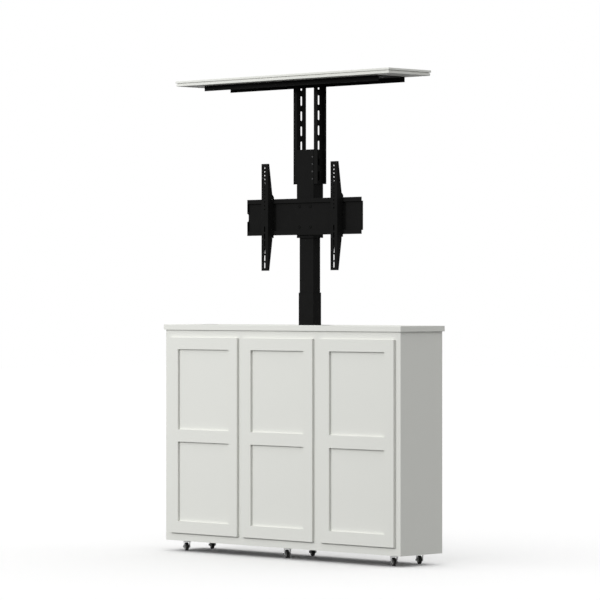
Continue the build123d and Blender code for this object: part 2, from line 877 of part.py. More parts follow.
# Channel under the lid, its bolts, the lid and its screws
lid_screw_pitch = (channel_length / 2 - lid_screw_inset) / lid_screw_per_side
foot_bolt_places = [
    (hand * foot_bolt_x, column_y + row * foot_bolt_spacing / 2) for hand in (-1, 1) for row in (-1, 1)
]
lid_screw_places = [
    (hand * step * lid_screw_pitch, channel_middle)
    for hand in (-1, 1)
    for step in range(1, lid_screw_per_side + 1)
]
with BuildPart() as lid_channel:
    with BuildSketch(Plane.XY.offset(lid_underside)):
        with Locations((0, channel_middle)):
            Rectangle(channel_length, channel_depth)
    extrude(amount=-channel_height)
    with BuildSketch(Plane.XY.offset(lid_underside - channel_height)):
        with Locations((0, channel_middle)):
            Rectangle(channel_length, channel_depth - 2 * channel_sheet)
    extrude(amount=channel_height - channel_sheet, mode=Mode.SUBTRACT)
    with BuildSketch(Plane.XY.offset(lid_underside)):
        with Locations(*lid_screw_places):
            Circle(wood_screw_radius)
        with Locations(*foot_bolt_places):
            Circle(foot_bolt_radius)
    extrude(amount=-channel_sheet, mode=Mode.SUBTRACT)
finish(lid_channel, "lid_channel")

with BuildPart() as channel_bolts:
    with BuildSketch(Plane.XY.offset(upright_top - upright_sheet)):
        with Locations(*foot_bolt_places):
            Circle(foot_bolt_head)
    extrude(amount=-foot_bolt_head_height)
    with BuildSketch(Plane.XY.offset(upright_top - upright_sheet)):
        with Locations(*foot_bolt_places):
            Circle(foot_bolt_radius)
    extrude(amount=upright_sheet + channel_sheet)
finish(channel_bolts, "channel_bolts")

bead_height = lid_thickness - lid_lip_height - lid_neck_height
with BuildPart() as lid:
    for start, height, inset in (
        (0, bead_height, lid_bead_inset),
        (bead_height, lid_neck_height, lid_neck_inset),
        (bead_height + lid_neck_height, lid_lip_height, 0),
    ):
        with BuildSketch(Plane.XY.offset(lid_underside + start)):
            with Locations((0, lid_middle)):
                Rectangle(lid_length - 2 * inset, lid_depth - 2 * inset)
        extrude(amount=height)
    rims = [face.outer_wire().edges() for face in lid.faces().filter_by(Axis.Z)]
    fillet([edge for rim in rims for edge in rim], lid_round)
    with BuildSketch(Plane.XY.offset(lid_underside)):
        with Locations(*lid_screw_places):
            Circle(wood_screw_radius)
    extrude(amount=wood_screw_length - channel_sheet, mode=Mode.SUBTRACT)
finish(lid, "lid")

with BuildPart() as lid_screws:
    with BuildSketch(Plane.XY.offset(upright_top)):
        with Locations(*lid_screw_places):
            Circle(wood_screw_head)
    extrude(amount=-wood_screw_head_height)
    with BuildSketch(Plane.XY.offset(upright_top)):
        with Locations(*lid_screw_places):
            Circle(wood_screw_radius)
    extrude(amount=wood_screw_length)
finish(lid_screws, "lid_screws")

# Mount plate: a recessed web between an upper and a lower hanging lip
half_plate = plate_height / 2
half_web = half_plate - plate_lip
web_front = carriage_front - plate_sheet
with BuildPart() as mount_plate:
    with BuildSketch(facing_right(-plate_length / 2)):
        with BuildLine():
            Polyline(
                (carriage_front, mount_height - half_web),
                (carriage_front, mount_height + half_web),
                (plate_front + plate_sheet, mount_height + half_web),
                (plate_front + plate_sheet, mount_height + half_plate),
                (plate_front, mount_height + half_plate),
                (plate_front, mount_height + half_web - plate_sheet),
                (web_front, mount_height + half_web - plate_sheet),
                (web_front, mount_height - half_web + plate_sheet),
                (plate_front, mount_height - half_web + plate_sheet),
                (plate_front, mount_height - half_plate),
                (plate_front + plate_sheet, mount_height - half_plate),
                (plate_front + plate_sheet, mount_height - half_web),
                close=True,
            )
        make_face()
    extrude(amount=plate_length)
    for start in (-plate_length / 2, plate_length / 2 - plate_sheet):
        with BuildSketch(facing_right(start)):
            with Locations((web_front - plate_step / 2, mount_height)):
                Rectangle(plate_step, 2 * half_web)
            with Locations((plate_front, mount_height)):
                SlotOverall(plate_notch_height, 2 * plate_notch_depth, rotation=quarter_turn, mode=Mode.SUBTRACT)
        extrude(amount=plate_sheet)
    with BuildSketch(facing_front(carriage_front)):
        with Locations((0, mount_height)):
            with plate_bolt_grid():
                Circle(plate_bolt_radius)
    extrude(amount=plate_sheet, mode=Mode.SUBTRACT)
finish(mount_plate, "mount_plate")

with BuildPart() as plate_bolts:
    with BuildSketch(facing_front(web_front)):
        with Locations((0, mount_height)):
            with plate_bolt_grid():
                Circle(plate_bolt_head)
    extrude(amount=plate_bolt_head_height)
    fillet(plate_bolts.edges().group_by(Axis.Y)[0], plate_bolt_head_height / 2)
    with BuildSketch(facing_front(web_front)):
        with Locations((0, mount_height)):
            with plate_bolt_grid():
                Circle(plate_bolt_radius)
    extrude(amount=-plate_bolt_length + plate_bolt_head_height)
finish(plate_bolts, "plate_bolts")

# Television arms: tapered channels that hook over the plate's upper lip
half_arm = arm_length / 2
rail_depth = arm_stand_off - running_gap
tab_depth = arm_stand_off + plate_step - arm_tab_gap
tab_half = half_web - plate_sheet - seat_gap
hook_start = arm_stand_off + plate_sheet + seat_gap
hook_end = hook_start + arm_hook_depth
hook_root = half_plate + seat_gap
hook_outline = (
    (0, -half_arm),
    (arm_end_depth, -half_arm),
    (rail_depth, -arm_taper_height),
    (rail_depth, -tab_half),
    (tab_depth, -tab_half),
    (tab_depth, tab_half),
    (rail_depth, tab_half),
    (rail_depth, hook_root),
    (hook_start, hook_root),
    (hook_start, hook_root - arm_hook_drop),
    (hook_end, hook_root - arm_hook_drop),
    (hook_end, hook_root + arm_hook_rise),
    (rail_depth, arm_taper_height),
    (arm_end_depth, half_arm),
    (0, half_arm),
)
hole_places = [(0, half_arm - arm_hole_end - index * arm_hole_pitch) for index in range(arm_hole_count)]
arm_slot_places = [(0, -half_arm + arm_slot_end + index * arm_slot_pitch) for index in range(arm_slot_count)]
cheek = [(arm_front + depth, mount_height + rise) for depth, rise in hook_outline]
for side, hand in (("left", -1), ("right", 1)):
    arm_x = hand * arm_spacing / 2
    with BuildPart() as arm:
        with BuildSketch(facing_front(arm_front)):
            with Locations((arm_x, mount_height)):
                Rectangle(arm_width, arm_length)
        extrude(amount=-arm_sheet)
        for start in (arm_x - arm_width / 2, arm_x + arm_width / 2 - arm_sheet):
            with BuildSketch(facing_right(start)):
                with BuildLine():
                    Polyline(*cheek, close=True)
                make_face()
            extrude(amount=arm_sheet)
        fillet(arm.edges().filter_by(Axis.Z).group_by(Axis.Y)[0], arm_round)
        with BuildSketch(facing_front(arm_front)):
            with Locations(*[(arm_x, mount_height + rise) for _, rise in hole_places]):
                Circle(arm_hole_radius)
            with Locations(*[(arm_x, mount_height + rise) for _, rise in arm_slot_places]):
                SlotOverall(arm_slot_length, arm_slot_width, rotation=quarter_turn)
        extrude(amount=-arm_sheet, mode=Mode.SUBTRACT)
    finish(arm, f"arm_{side}")

    # Lock under the arm: a block between the cheeks with a tooth behind the lower lip
    lock_top = mount_height - half_plate - seat_gap
    lock_width = arm_width - 2 * arm_sheet
    lock_depth = hook_end - lock_front
    with BuildPart() as arm_lock:
        with BuildSketch(Plane.XY.offset(lock_top - lock_height)):
            with Locations((arm_x, arm_front + lock_front + lock_depth / 2)):
                Rectangle(lock_width, lock_depth)
        extrude(amount=lock_height)
        with BuildSketch(Plane.XY.offset(lock_top)):
            with Locations((arm_x, arm_front + (hook_start + hook_end) / 2)):
                Rectangle(lock_width, hook_end - hook_start)
        extrude(amount=lock_tooth_rise)
    finish(arm_lock, f"arm_lock_{side}")

print("nodes", len(os.listdir("parts")))
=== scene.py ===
"""A television lift in a grey-white cabinet: finishes, small hardware and studio.

Lengths are metres in the part's own frame: +Z up, the doors face -Y, the floor is Z = 0.
"""

from __future__ import annotations

import logging
import math
from dataclasses import dataclass
from enum import Enum
from typing import Callable, Iterable, Sequence

import bmesh
import bpy
from mathutils import Matrix, Vector

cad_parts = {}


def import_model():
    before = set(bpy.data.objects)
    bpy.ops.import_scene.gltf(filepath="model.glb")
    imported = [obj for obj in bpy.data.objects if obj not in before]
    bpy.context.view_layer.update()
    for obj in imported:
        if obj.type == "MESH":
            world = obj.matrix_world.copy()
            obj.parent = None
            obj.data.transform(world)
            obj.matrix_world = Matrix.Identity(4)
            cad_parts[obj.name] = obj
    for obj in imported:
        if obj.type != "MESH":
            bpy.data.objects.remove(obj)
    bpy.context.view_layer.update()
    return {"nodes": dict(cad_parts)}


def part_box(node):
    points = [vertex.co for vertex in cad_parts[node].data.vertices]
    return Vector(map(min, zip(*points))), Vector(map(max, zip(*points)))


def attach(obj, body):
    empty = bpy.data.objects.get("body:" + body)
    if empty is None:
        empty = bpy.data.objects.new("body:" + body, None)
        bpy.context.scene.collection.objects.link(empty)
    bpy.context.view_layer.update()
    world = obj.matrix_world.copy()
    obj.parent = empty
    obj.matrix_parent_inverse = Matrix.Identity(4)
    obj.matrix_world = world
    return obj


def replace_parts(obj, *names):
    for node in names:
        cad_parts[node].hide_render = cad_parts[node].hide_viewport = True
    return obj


log = logging.getLogger("tv_lift_cabinet")

Colour = tuple[float, float, float]
Point = tuple[float, float, float]
Question = Callable[[Vector, Vector], bool]

# Directions
UP: Point = (0, 0, 1)
DOWN: Point = (0, 0, -1)
FRONT: Point = (0, -1, 0)
BACK: Point = (0, 1, 0)

# How near two places count as the same, and how square to an axis a flat face's normal is
HAIR = 0.0001
TINY = 0.0002
NEAR = 0.001
FLAT = 0.95

# Edges that turn less than this many degrees are shaded smooth
SMOOTH_BELOW = 35.0
ROUND_SIDES = 32
HEXAGON = 6

WHITE: Colour = (1.0, 1.0, 1.0)

# The colour sockets of a Mix node, by number
MIX_SHARE, MIX_FIRST, MIX_SECOND, MIX_RESULT = 0, 6, 7, 2
NOISE_MIDDLE = 0.5
HALF_TURN = 0.5


# Shader maths


class Value:
    """A shader socket that can be written into arithmetic."""

    def __init__(self, sheet: "Sheet", socket: bpy.types.NodeSocket) -> None:
        """Keep the socket and the sheet that it belongs to."""
        self.sheet = sheet
        self.socket = socket

    def _with(self, operation: str, *terms: "Feed") -> "Value":
        """Add a Math node over the terms.

        Args:
            operation: The Math node's operation.
            terms: Numbers or values, in the node's order.

        Returns:
            The node's result.
        """
        node = self.sheet.add("ShaderNodeMath", {"operation": operation}, dict(enumerate(terms)))
        return Value(self.sheet, node.outputs[0])

    def __add__(self, other: "Feed") -> "Value":
        """Sum."""
        return self._with("ADD", self, other)

    __radd__ = __add__

    def __sub__(self, other: "Feed") -> "Value":
        """Difference."""
        return self._with("SUBTRACT", self, other)

    def __rsub__(self, other: "Feed") -> "Value":
        """Difference from a number on the left."""
        return self._with("SUBTRACT", other, self)

    def __mul__(self, other: "Feed") -> "Value":
        """Product."""
        return self._with("MULTIPLY", self, other)

    __rmul__ = __mul__

    def __truediv__(self, other: "Feed") -> "Value":
        """Quotient."""
        return self._with("DIVIDE", self, other)

    def __rtruediv__(self, other: "Feed") -> "Value":
        """Quotient with a number on top."""
        return self._with("DIVIDE", other, self)

    def wrapped(self) -> "Value":
        """The fractional part."""
        return self._with("FRACT", self)

    def angle_to(self, other: "Feed") -> "Value":
        """The angle of the point (other, self), in radians."""
        return self._with("ARCTAN2", self, other)

    def limited(self) -> "Value":
        """The value held between 0 and 1."""
        return self._with("MINIMUM", self._with("MAXIMUM", self, 0.0), 1.0)


Feed = Value | float | Sequence[float]
Feeds = dict[int | str, Feed]


class Sheet:
    """The node tree of one material or world, with one way to add a node."""

    def __init__(self, tree: bpy.types.NodeTree) -> None:
        """Empty the tree."""
        self.tree = tree
        self.tree.nodes.clear()

    def add(self, kind: str, settings: dict[str, object], feeds: Feeds) -> bpy.types.Node:
        """Add a node, set it up and feed its sockets.

        Args:
            kind: The node's type.
            settings: The node's own settings, such as a Math node's operation.
            feeds: Values or links by socket name or number.

        Returns:
            The new node.
        """
        node = self.tree.nodes.new(kind)
        for name, setting in settings.items():
            setattr(node, name, setting)
        for socket, feed in feeds.items():
            if isinstance(feed, Value):
                self.tree.links.new(feed.socket, node.inputs[socket])
            else:
                node.inputs[socket].default_value = feed
        return node

    def out(self, kind: str, settings: dict[str, object], feeds: Feeds, socket: int | str) -> Value:
        """Add a node and return one of its outputs as a value."""
        return Value(self, self.add(kind, settings, feeds).outputs[socket])

    def place(self) -> Value:
        """Object coordinates."""
        return self.out("ShaderNodeTexCoord", {}, {}, "Object")

    def noise(self, scale: float, detail: float = 2.0, stretch: Point = (1.0, 1.0, 1.0)) -> Value:
        """Noise over the object, from 0 to 1 about its middle.

        Args:
            scale: Features per metre.
            detail: Octaves.
            stretch: How much finer the noise is along each axis.

        Returns:
            The noise value.
        """
        where = self.out("ShaderNodeMapping", {}, {"Vector": self.place(), "Scale": stretch}, 0)
        return self.out("ShaderNodeTexNoise", {}, {"Vector": where, "Scale": scale, "Detail": detail}, 0)

    def blend(self, share: Feed, first: Feed, second: Feed) -> Value:
        """Mix two colours."""
        feeds: Feeds = {MIX_SHARE: share, MIX_FIRST: first, MIX_SECOND: second}
        return self.out("ShaderNodeMix", {"data_type": "RGBA"}, feeds, MIX_RESULT)

    def bump(self, height: Value, depth: float, strength: float = 1.0) -> Value:
        """A normal from a height value whose full range is depth metres."""
        feeds: Feeds = {"Height": height, "Distance": depth, "Strength": strength}
        return self.out("ShaderNodeBump", {}, feeds, "Normal")

    def surface(self, feeds: Feeds) -> None:
        """End the tree in one Principled surface."""
        shader = self.out("ShaderNodeBsdfPrincipled", {}, feeds, 0)
        self.add("ShaderNodeOutputMaterial", {}, {"Surface": shader})


def grown(colour: Colour, factor: float) -> tuple[float, float, float, float]:
    """A colour made lighter or darker by a factor, with full alpha."""
    red, green, blue = colour
    return (red * factor, green * factor, blue * factor, 1.0)


# Finishes


class Sheen(Enum):
    """How shiny a paint or plastic is: its roughness."""

    MATT = 0.62
    SATIN = 0.46
    SMOOTH = 0.34


@dataclass(frozen=True)
class Finish:
    """A finish with a name, a colour and a sheen.

    In each kind of finish the scales are features per metre and the depths are metres. A tint is how far
    the colour goes to either side, and a rough field is how far the roughness does.
    """

    name: str
    colour: Colour
    sheen: Sheen = Sheen.SATIN

    def material(self) -> bpy.types.Material:
        """Make the finish's material, or find it where it was made before.

        Returns:
            The material, of which there is one for each name.
        """
        found = bpy.data.materials.get(self.name)
        if found is None:
            found = bpy.data.materials.new(self.name)
            found.use_nodes = True
            self.lay(Sheet(found.node_tree))
        return found

    def lay(self, sheet: Sheet) -> None:
        """Build the finish's nodes on a sheet."""
        raise NotImplementedError


@dataclass(frozen=True)
class SprayPaint(Finish):
    """Sprayed lacquer on boards: faint tone drift and a fine orange peel."""

    tint: float = 0.012
    tint_scale: float = 5.0
    peel_scale: float = 420.0
    pore_scale: float = 1300.0
    pore_share: float = 0.5
    depth: float = 0.00005
    strength: float = 0.5
    rough: float = 0.08
    rough_scale: float = 40.0
    gloss: float = 0.02

    def lay(self, sheet: Sheet) -> None:
        """Let the colour drift over a hand's width and the roughness over a finger's.

        Args:
            sheet: The material's empty tree.
        """
        tone = sheet.noise(self.tint_scale)
        base = sheet.blend(tone, grown(self.colour, 1 - self.tint), grown(self.colour, 1 + self.tint))
        peel = sheet.noise(self.peel_scale) + self.pore_share * sheet.noise(self.pore_scale, detail=1.0)
        patch = sheet.noise(self.rough_scale, detail=3.0)
        sheet.surface({
            "Base Color": base,
            "Roughness": self.sheen.value + self.rough * (patch - NOISE_MIDDLE),
            "Normal": sheet.bump(peel, self.depth, self.strength),
            "Specular IOR Level": self.gloss,
        })


@dataclass(frozen=True)
class PowderCoat(Finish):
    """Black powder coat on folded steel: fine grit with duller patches."""

    tint: float = 0.15
    cloud_scale: float = 24.0
    grit_scale: float = 1500.0
    pit_scale: float = 3800.0
    pit_share: float = 0.6
    depth: float = 0.00008
    strength: float = 0.6
    rough: float = 0.12
    gloss: float = 0.01

    def lay(self, sheet: Sheet) -> None:
        """Put grit in the normal and cloudiness in the colour and roughness.

        Args:
            sheet: The material's empty tree.
        """
        cloud = sheet.noise(self.cloud_scale, detail=3.0)
        base = sheet.blend(cloud, grown(self.colour, 1 - self.tint), grown(self.colour, 1 + self.tint))
        grit = sheet.noise(self.grit_scale) + self.pit_share * sheet.noise(self.pit_scale, detail=1.0)
        sheet.surface({
            "Base Color": base,
            "Roughness": self.sheen.value + self.rough * (cloud - NOISE_MIDDLE),
            "Normal": sheet.bump(grit, self.depth, self.strength),
            "Specular IOR Level": self.gloss,
        })


@dataclass(frozen=True)
class ZincPlate(Finish):
    """Zinc on screws, bolts, axles, pressed hinge parts and the casters' forks."""

    dark: float = 0.88
    light: float = 1.08
    cloud_scale: float = 90.0
    line_scale: float = 700.0
    stretch: Point = (1.0, 1.0, 6.0)
    depth: float = 0.00003
    strength: float = 0.5
    rough: float = 0.18

    def lay(self, sheet: Sheet) -> None:
        """Draw streaks in the metal, and give it a cloudy passivated tone.

        Args:
            sheet: The material's empty tree.
        """
        cloud = sheet.noise(self.cloud_scale, detail=3.0)
        lines = sheet.noise(self.line_scale, stretch=self.stretch)
        sheet.surface({
            "Base Color": sheet.blend(cloud, grown(self.colour, self.dark), grown(self.colour, self.light)),
            "Roughness": self.sheen.value + self.rough * (lines - NOISE_MIDDLE),
            "Metallic": 1.0,
            "Normal": sheet.bump(lines, self.depth, self.strength),
        })


@dataclass(frozen=True)
class RolledThread(Finish):
    """A steel lead screw whose thread winds round an upright axis."""

    axis_x: float = 0.0
    axis_y: float = 0.0
    lead: float = 0.006
    depth: float = 0.0006
    steepness: float = 6.4
    root: float = 0.2
    rough: float = 0.25

    def lay(self, sheet: Sheet) -> None:
        """Wind a helix in the normal: height over lead plus the turn about the axis.

        Args:
            sheet: The material's empty tree.
        """
        split = sheet.add("ShaderNodeSeparateXYZ", {}, {0: sheet.place()})
        across, along, up = (Value(sheet, split.outputs[index]) for index in range(3))
        turn = (along - self.axis_y).angle_to(across - self.axis_x) / math.tau
        tooth = (up / self.lead + turn).wrapped() - HALF_TURN
        flank = (self.steepness * tooth * tooth - self.root).limited()
        sheet.surface({
            "Base Color": grown(self.colour, 1.0),
            "Roughness": self.sheen.value + self.rough * flank,
            "Metallic": 1.0,
            "Normal": sheet.bump(flank, self.depth),
        })


@dataclass(frozen=True)
class Moulding(Finish):
    """Injection-moulded plastic with a spark-eroded face."""

    tint: float = 0.06
    patch_scale: float = 60.0
    grit_scale: float = 2200.0
    depth: float = 0.00005
    strength: float = 0.5
    rough: float = 0.1
    gloss: float = 0.35

    def lay(self, sheet: Sheet) -> None:
        """Give it fine grit and slight gloss patches.

        Args:
            sheet: The material's empty tree.
        """
        patch = sheet.noise(self.patch_scale)
        base = sheet.blend(patch, grown(self.colour, 1 - self.tint), grown(self.colour, 1 + self.tint))
        sheet.surface({
            "Base Color": base,
            "Roughness": self.sheen.value + self.rough * (patch - NOISE_MIDDLE),
            "Normal": sheet.bump(sheet.noise(self.grit_scale), self.depth, self.strength),
            "Specular IOR Level": self.gloss,
        })


@dataclass(frozen=True)
class TreadRubber(Finish):
    """Soft caster rubber, a little dusty where it has rolled."""

    dust: Colour = (0.09, 0.088, 0.082)
    dust_share: float = 0.35
    dust_scale: float = 160.0
    dust_contrast: float = 2.0
    dust_start: float = 0.75
    grain_scale: float = 1200.0
    depth: float = 0.00012
    strength: float = 0.6
    rough: float = 0.25
    gloss: float = 0.3

    def lay(self, sheet: Sheet) -> None:
        """Lighten and roughen the tread in patches of dust.

        Args:
            sheet: The material's empty tree.
        """
        patch = (sheet.noise(self.dust_scale, detail=4.0) * self.dust_contrast - self.dust_start).limited()
        clean, dusty = grown(self.colour, 1.0), grown(self.dust, 1.0)
        sheet.surface({
            "Base Color": sheet.blend(patch * self.dust_share, clean, dusty),
            "Roughness": self.sheen.value + self.rough * patch,
            "Normal": sheet.bump(sheet.noise(self.grain_scale, detail=3.0), self.depth, self.strength),
            "Specular IOR Level": self.gloss,
        })


LACQUER = SprayPaint("grey_white_lacquer", (0.735, 0.742, 0.705))
INSIDE = SprayPaint("carcase_lacquer", (0.66, 0.665, 0.64), Sheen.MATT)
BLACK = PowderCoat("black_powder_coat", (0.0104, 0.0104, 0.0102), Sheen.MATT)
BRIGHT = ZincPlate("bright_zinc", (0.62, 0.62, 0.61), Sheen.SMOOTH)
DARK_ZINC = ZincPlate("dark_zinc", (0.055, 0.055, 0.056))
# Bright plated steel for the caster forks and plates, its colour raised further to paint in the floor's
# bounce light under the cabinet
FORK_PLATE_WITH_PAINTED_BOUNCE = ZincPlate("caster_plate_with_painted_bounce", (0.93, 0.935, 0.93))
AXLE_STEEL = ZincPlate("axle_steel", (0.20, 0.20, 0.205), Sheen.SMOOTH)
BLACK_PLASTIC = Moulding("black_moulding", (0.016, 0.016, 0.016))
COLLAR_PLASTIC = Moulding("collar_moulding", (0.009, 0.009, 0.009), Sheen.MATT, gloss=0.01)
GREY_PLASTIC = Moulding("grey_casting", (0.11, 0.115, 0.12))
# Light grey moulded hub, its colour raised further to paint in the floor's bounce light under the cabinet
HUB_PLASTIC_WITH_PAINTED_BOUNCE = Moulding("hub_moulding_with_painted_bounce", (0.45, 0.455, 0.455))
MOTOR_PAINT = Moulding("motor_enamel", (0.03, 0.031, 0.033), Sheen.SMOOTH)
RUBBER = TreadRubber("tread_rubber", (0.012, 0.012, 0.012), Sheen.MATT)
SCREW_STEEL: Colour = (0.45, 0.45, 0.46)


# Modelling steps


class Bench:
    """Edit-mode steps on one new piece, done as by hand."""

    def __init__(self, name: str) -> None:
        """Name the piece that the next primitive becomes, and deselect all others.

        Args:
            name: The piece's name.
        """
        self.name = name
        if bpy.context.object is not None and bpy.context.object.mode != "OBJECT":
            bpy.ops.object.mode_set(mode="OBJECT")
        bpy.ops.object.select_all(action="DESELECT")

    @property
    def piece(self) -> bpy.types.Object:
        """The piece on the bench."""
        return bpy.context.object

    def disc(
        self, radius: float, depth: float, centre: Point, sides: int = ROUND_SIDES, axis: Point = UP
    ) -> "Bench":
        """Start from a cylinder along an axis, and open it for editing.

        Args:
            radius: The cylinder's radius.
            depth: Its length along the axis.
            centre: Its middle.
            sides: How many flat sides stand for its round.
            axis: The way its ends look.

        Returns:
            The bench, for the next step.
        """
        turn = Vector(axis).to_track_quat("Z", "Y").to_euler()
        bpy.ops.mesh.primitive_cylinder_add(
            vertices=sides, radius=radius, depth=depth, location=centre, rotation=turn
        )
        return self._open()

    def block(self, size: Point, centre: Point) -> "Bench":
        """Start from a block of the given size, and open it for editing."""
        bpy.ops.mesh.primitive_cube_add(size=1.0, location=centre, scale=size)
        return self._open()

    def _open(self) -> "Bench":
        """Name the primitive, put its place into its mesh and open it.

        Returns:
            The bench, for the next step.
        """
        self.piece.name = self.name
        self.piece.data.name = self.name
        bpy.ops.object.transform_apply(location=True, rotation=True, scale=True)
        bpy.ops.object.mode_set(mode="EDIT")
        bpy.ops.mesh.select_all(action="DESELECT")
        return self

    def faces(self, wanted: Question) -> "Bench":
        """Select some faces.

        Args:
            wanted: Says yes or no to a face's middle and normal.

        Returns:
            The bench, for the next step.
        """
        bpy.ops.mesh.select_mode(type="FACE")
        bpy.ops.mesh.select_all(action="DESELECT")
        mesh = bmesh.from_edit_mesh(self.piece.data)
        for face in mesh.faces:
            face.select_set(wanted(face.calc_center_median(), face.normal))
        bmesh.update_edit_mesh(self.piece.data)
        return self

    def edges(self, wanted: Question) -> "Bench":
        """Select some edges.

        Args:
            wanted: Says yes or no to an edge's two ends.

        Returns:
            The bench, for the next step.
        """
        bpy.ops.mesh.select_mode(type="EDGE")
        bpy.ops.mesh.select_all(action="DESELECT")
        mesh = bmesh.from_edit_mesh(self.piece.data)
        for edge in mesh.edges:
            edge.select_set(wanted(edge.verts[0].co, edge.verts[1].co))
        bmesh.update_edit_mesh(self.piece.data)
        return self

    def inset(self, width: float, each: bool = False) -> "Bench":
        """Inset the selected faces."""
        bpy.ops.mesh.inset(thickness=width, use_individual=each)
        return self

    def pull(self, y: float = 0.0, z: float = 0.0) -> "Bench":
        """Extrude the selected faces by a move."""
        bpy.ops.mesh.extrude_region_move(TRANSFORM_OT_translate={"value": (0.0, y, z)})
        return self

    def squeeze(self, x: float, y: float, z: float, about: Point) -> "Bench":
        """Scale what is selected about a point."""
        bpy.ops.transform.resize(value=(x, y, z), center_override=about)
        return self

    def shift(self, x: float = 0.0, y: float = 0.0, z: float = 0.0) -> "Bench":
        """Move what is selected."""
        bpy.ops.transform.translate(value=(x, y, z))
        return self

    def slice(self, at: Point, across: Point) -> "Bench":
        """Cut new edges where a plane crosses the piece.

        Args:
            at: A point on the plane.
            across: The plane's normal.

        Returns:
            The bench, for the next step.
        """
        bpy.ops.mesh.select_all(action="SELECT")
        bpy.ops.mesh.bisect(plane_co=at, plane_no=across)
        return self

    def tunnel(self) -> "Bench":
        """Join the two selected faces by a hole."""
        bpy.ops.mesh.bridge_edge_loops()
        return self

    def round_edges(self, radius: float, steps: int = 2) -> "Bench":
        """Bevel the selected edges."""
        bpy.ops.mesh.bevel(offset=radius, segments=steps, affect="EDGES", profile=0.5)
        return self

    def close(self) -> bpy.types.Object:
        """Leave edit mode with outward normals and smooth shading.

        Returns:
            The finished piece.
        """
        bpy.ops.mesh.select_all(action="SELECT")
        bpy.ops.mesh.normals_make_consistent(inside=False)
        bpy.ops.object.mode_set(mode="OBJECT")
        bpy.ops.object.shade_smooth_by_angle(angle=math.radians(SMOOTH_BELOW))
        return self.piece


def bored(piece: bpy.types.Object, cutter: bpy.types.Object) -> bpy.types.Object:
    """Cut one piece out of another with an applied boolean.

    Args:
        piece: The piece that keeps its name.
        cutter: The tool, which is thrown away.

    Returns:
        The cut piece.
    """
    bpy.ops.object.select_all(action="DESELECT")
    bpy.context.view_layer.objects.active = piece
    piece.select_set(True)
    cut = piece.modifiers.new("cut", "BOOLEAN")
    cut.operation = "DIFFERENCE"
    cut.solver = "EXACT"
    cut.object = cutter
    bpy.ops.object.modifier_apply(modifier=cut.name)
    bpy.data.objects.remove(cutter)
    bpy.ops.object.shade_smooth_by_angle(angle=math.radians(SMOOTH_BELOW))
    return piece


def joined(name: str, parts: Sequence[bpy.types.Object]) -> bpy.types.Object:
    """Join finished pieces into one.

    Args:
        name: The joined piece's name.
        parts: The pieces, of which the first takes in the others.

    Returns:
        The joined piece.
    """
    bpy.ops.object.select_all(action="DESELECT")
    for part in parts:
        part.select_set(True)
    bpy.context.view_layer.objects.active = parts[0]
    bpy.ops.object.join()
    parts[0].name = name
    return parts[0]


def copied(piece: bpy.types.Object, name: str, move: Matrix) -> bpy.types.Object:
    """Copy a piece with its own mesh, moved inside that mesh.

    Args:
        piece: The piece to copy.
        name: The copy's name.
        move: The copy's move from the piece's place.

    Returns:
        The copy.
    """
    twin = piece.copy()
    twin.data = piece.data.copy()
    twin.name = name
    twin.data.transform(move)
    bpy.context.scene.collection.objects.link(twin)
    return twin


def coat(piece: bpy.types.Object, finish: Finish) -> None:
    """Give a piece one finish in place of what it had."""
    piece.data.materials.clear()
    piece.data.materials.append(finish.material())


def fit(piece: bpy.types.Object, body: str, finish: Finish) -> bpy.types.Object:
    """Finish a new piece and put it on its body.

    Args:
        piece: The finished piece.
        body: The CAD body that it rides on.
        finish: Its finish here.

    Returns:
        The piece.
    """
    coat(piece, finish)
    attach(piece, body)
    log.info("%s: %d faces on %s", piece.name, len(piece.data.polygons), body)
    return piece


def dress(nodes: dict[str, bpy.types.Object], names: Iterable[str], finish: Finish) -> None:
    """Give CAD nodes a finish.

    Args:
        nodes: All the CAD nodes by name.
        names: The nodes to dress.
        finish: Their finish.
    """
    for name in names:
        coat(nodes[name], finish)
        log.info("%s wears %s", name, finish.name)


# Small hardware


@dataclass(frozen=True)
class Box:
    """A CAD node's box at rest, which seats the small hardware."""

    low: Vector
    high: Vector

    @classmethod
    def of(cls, node: str) -> "Box":
        """The box of a node."""
        return cls(*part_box(node))

    @property
    def middle(self) -> Vector:
        """The box's centre."""
        return (self.low + self.high) / 2

    @property
    def size(self) -> Vector:
        """The box's edge lengths."""
        return self.high - self.low

    def row(self, axis: int, count: int, inset: float) -> list[float]:
        """Places spread evenly along an axis, the first and last this far inside the box."""
        start, end = self.low[axis] + inset, self.high[axis] - inset
        return [start + (end - start) * step / (count - 1) for step in range(count)]


class Drive(Enum):
    """The recess in a screw's head."""

    HEX_SOCKET = "hex socket"
    CROSS = "cross"
    NONE = "none"


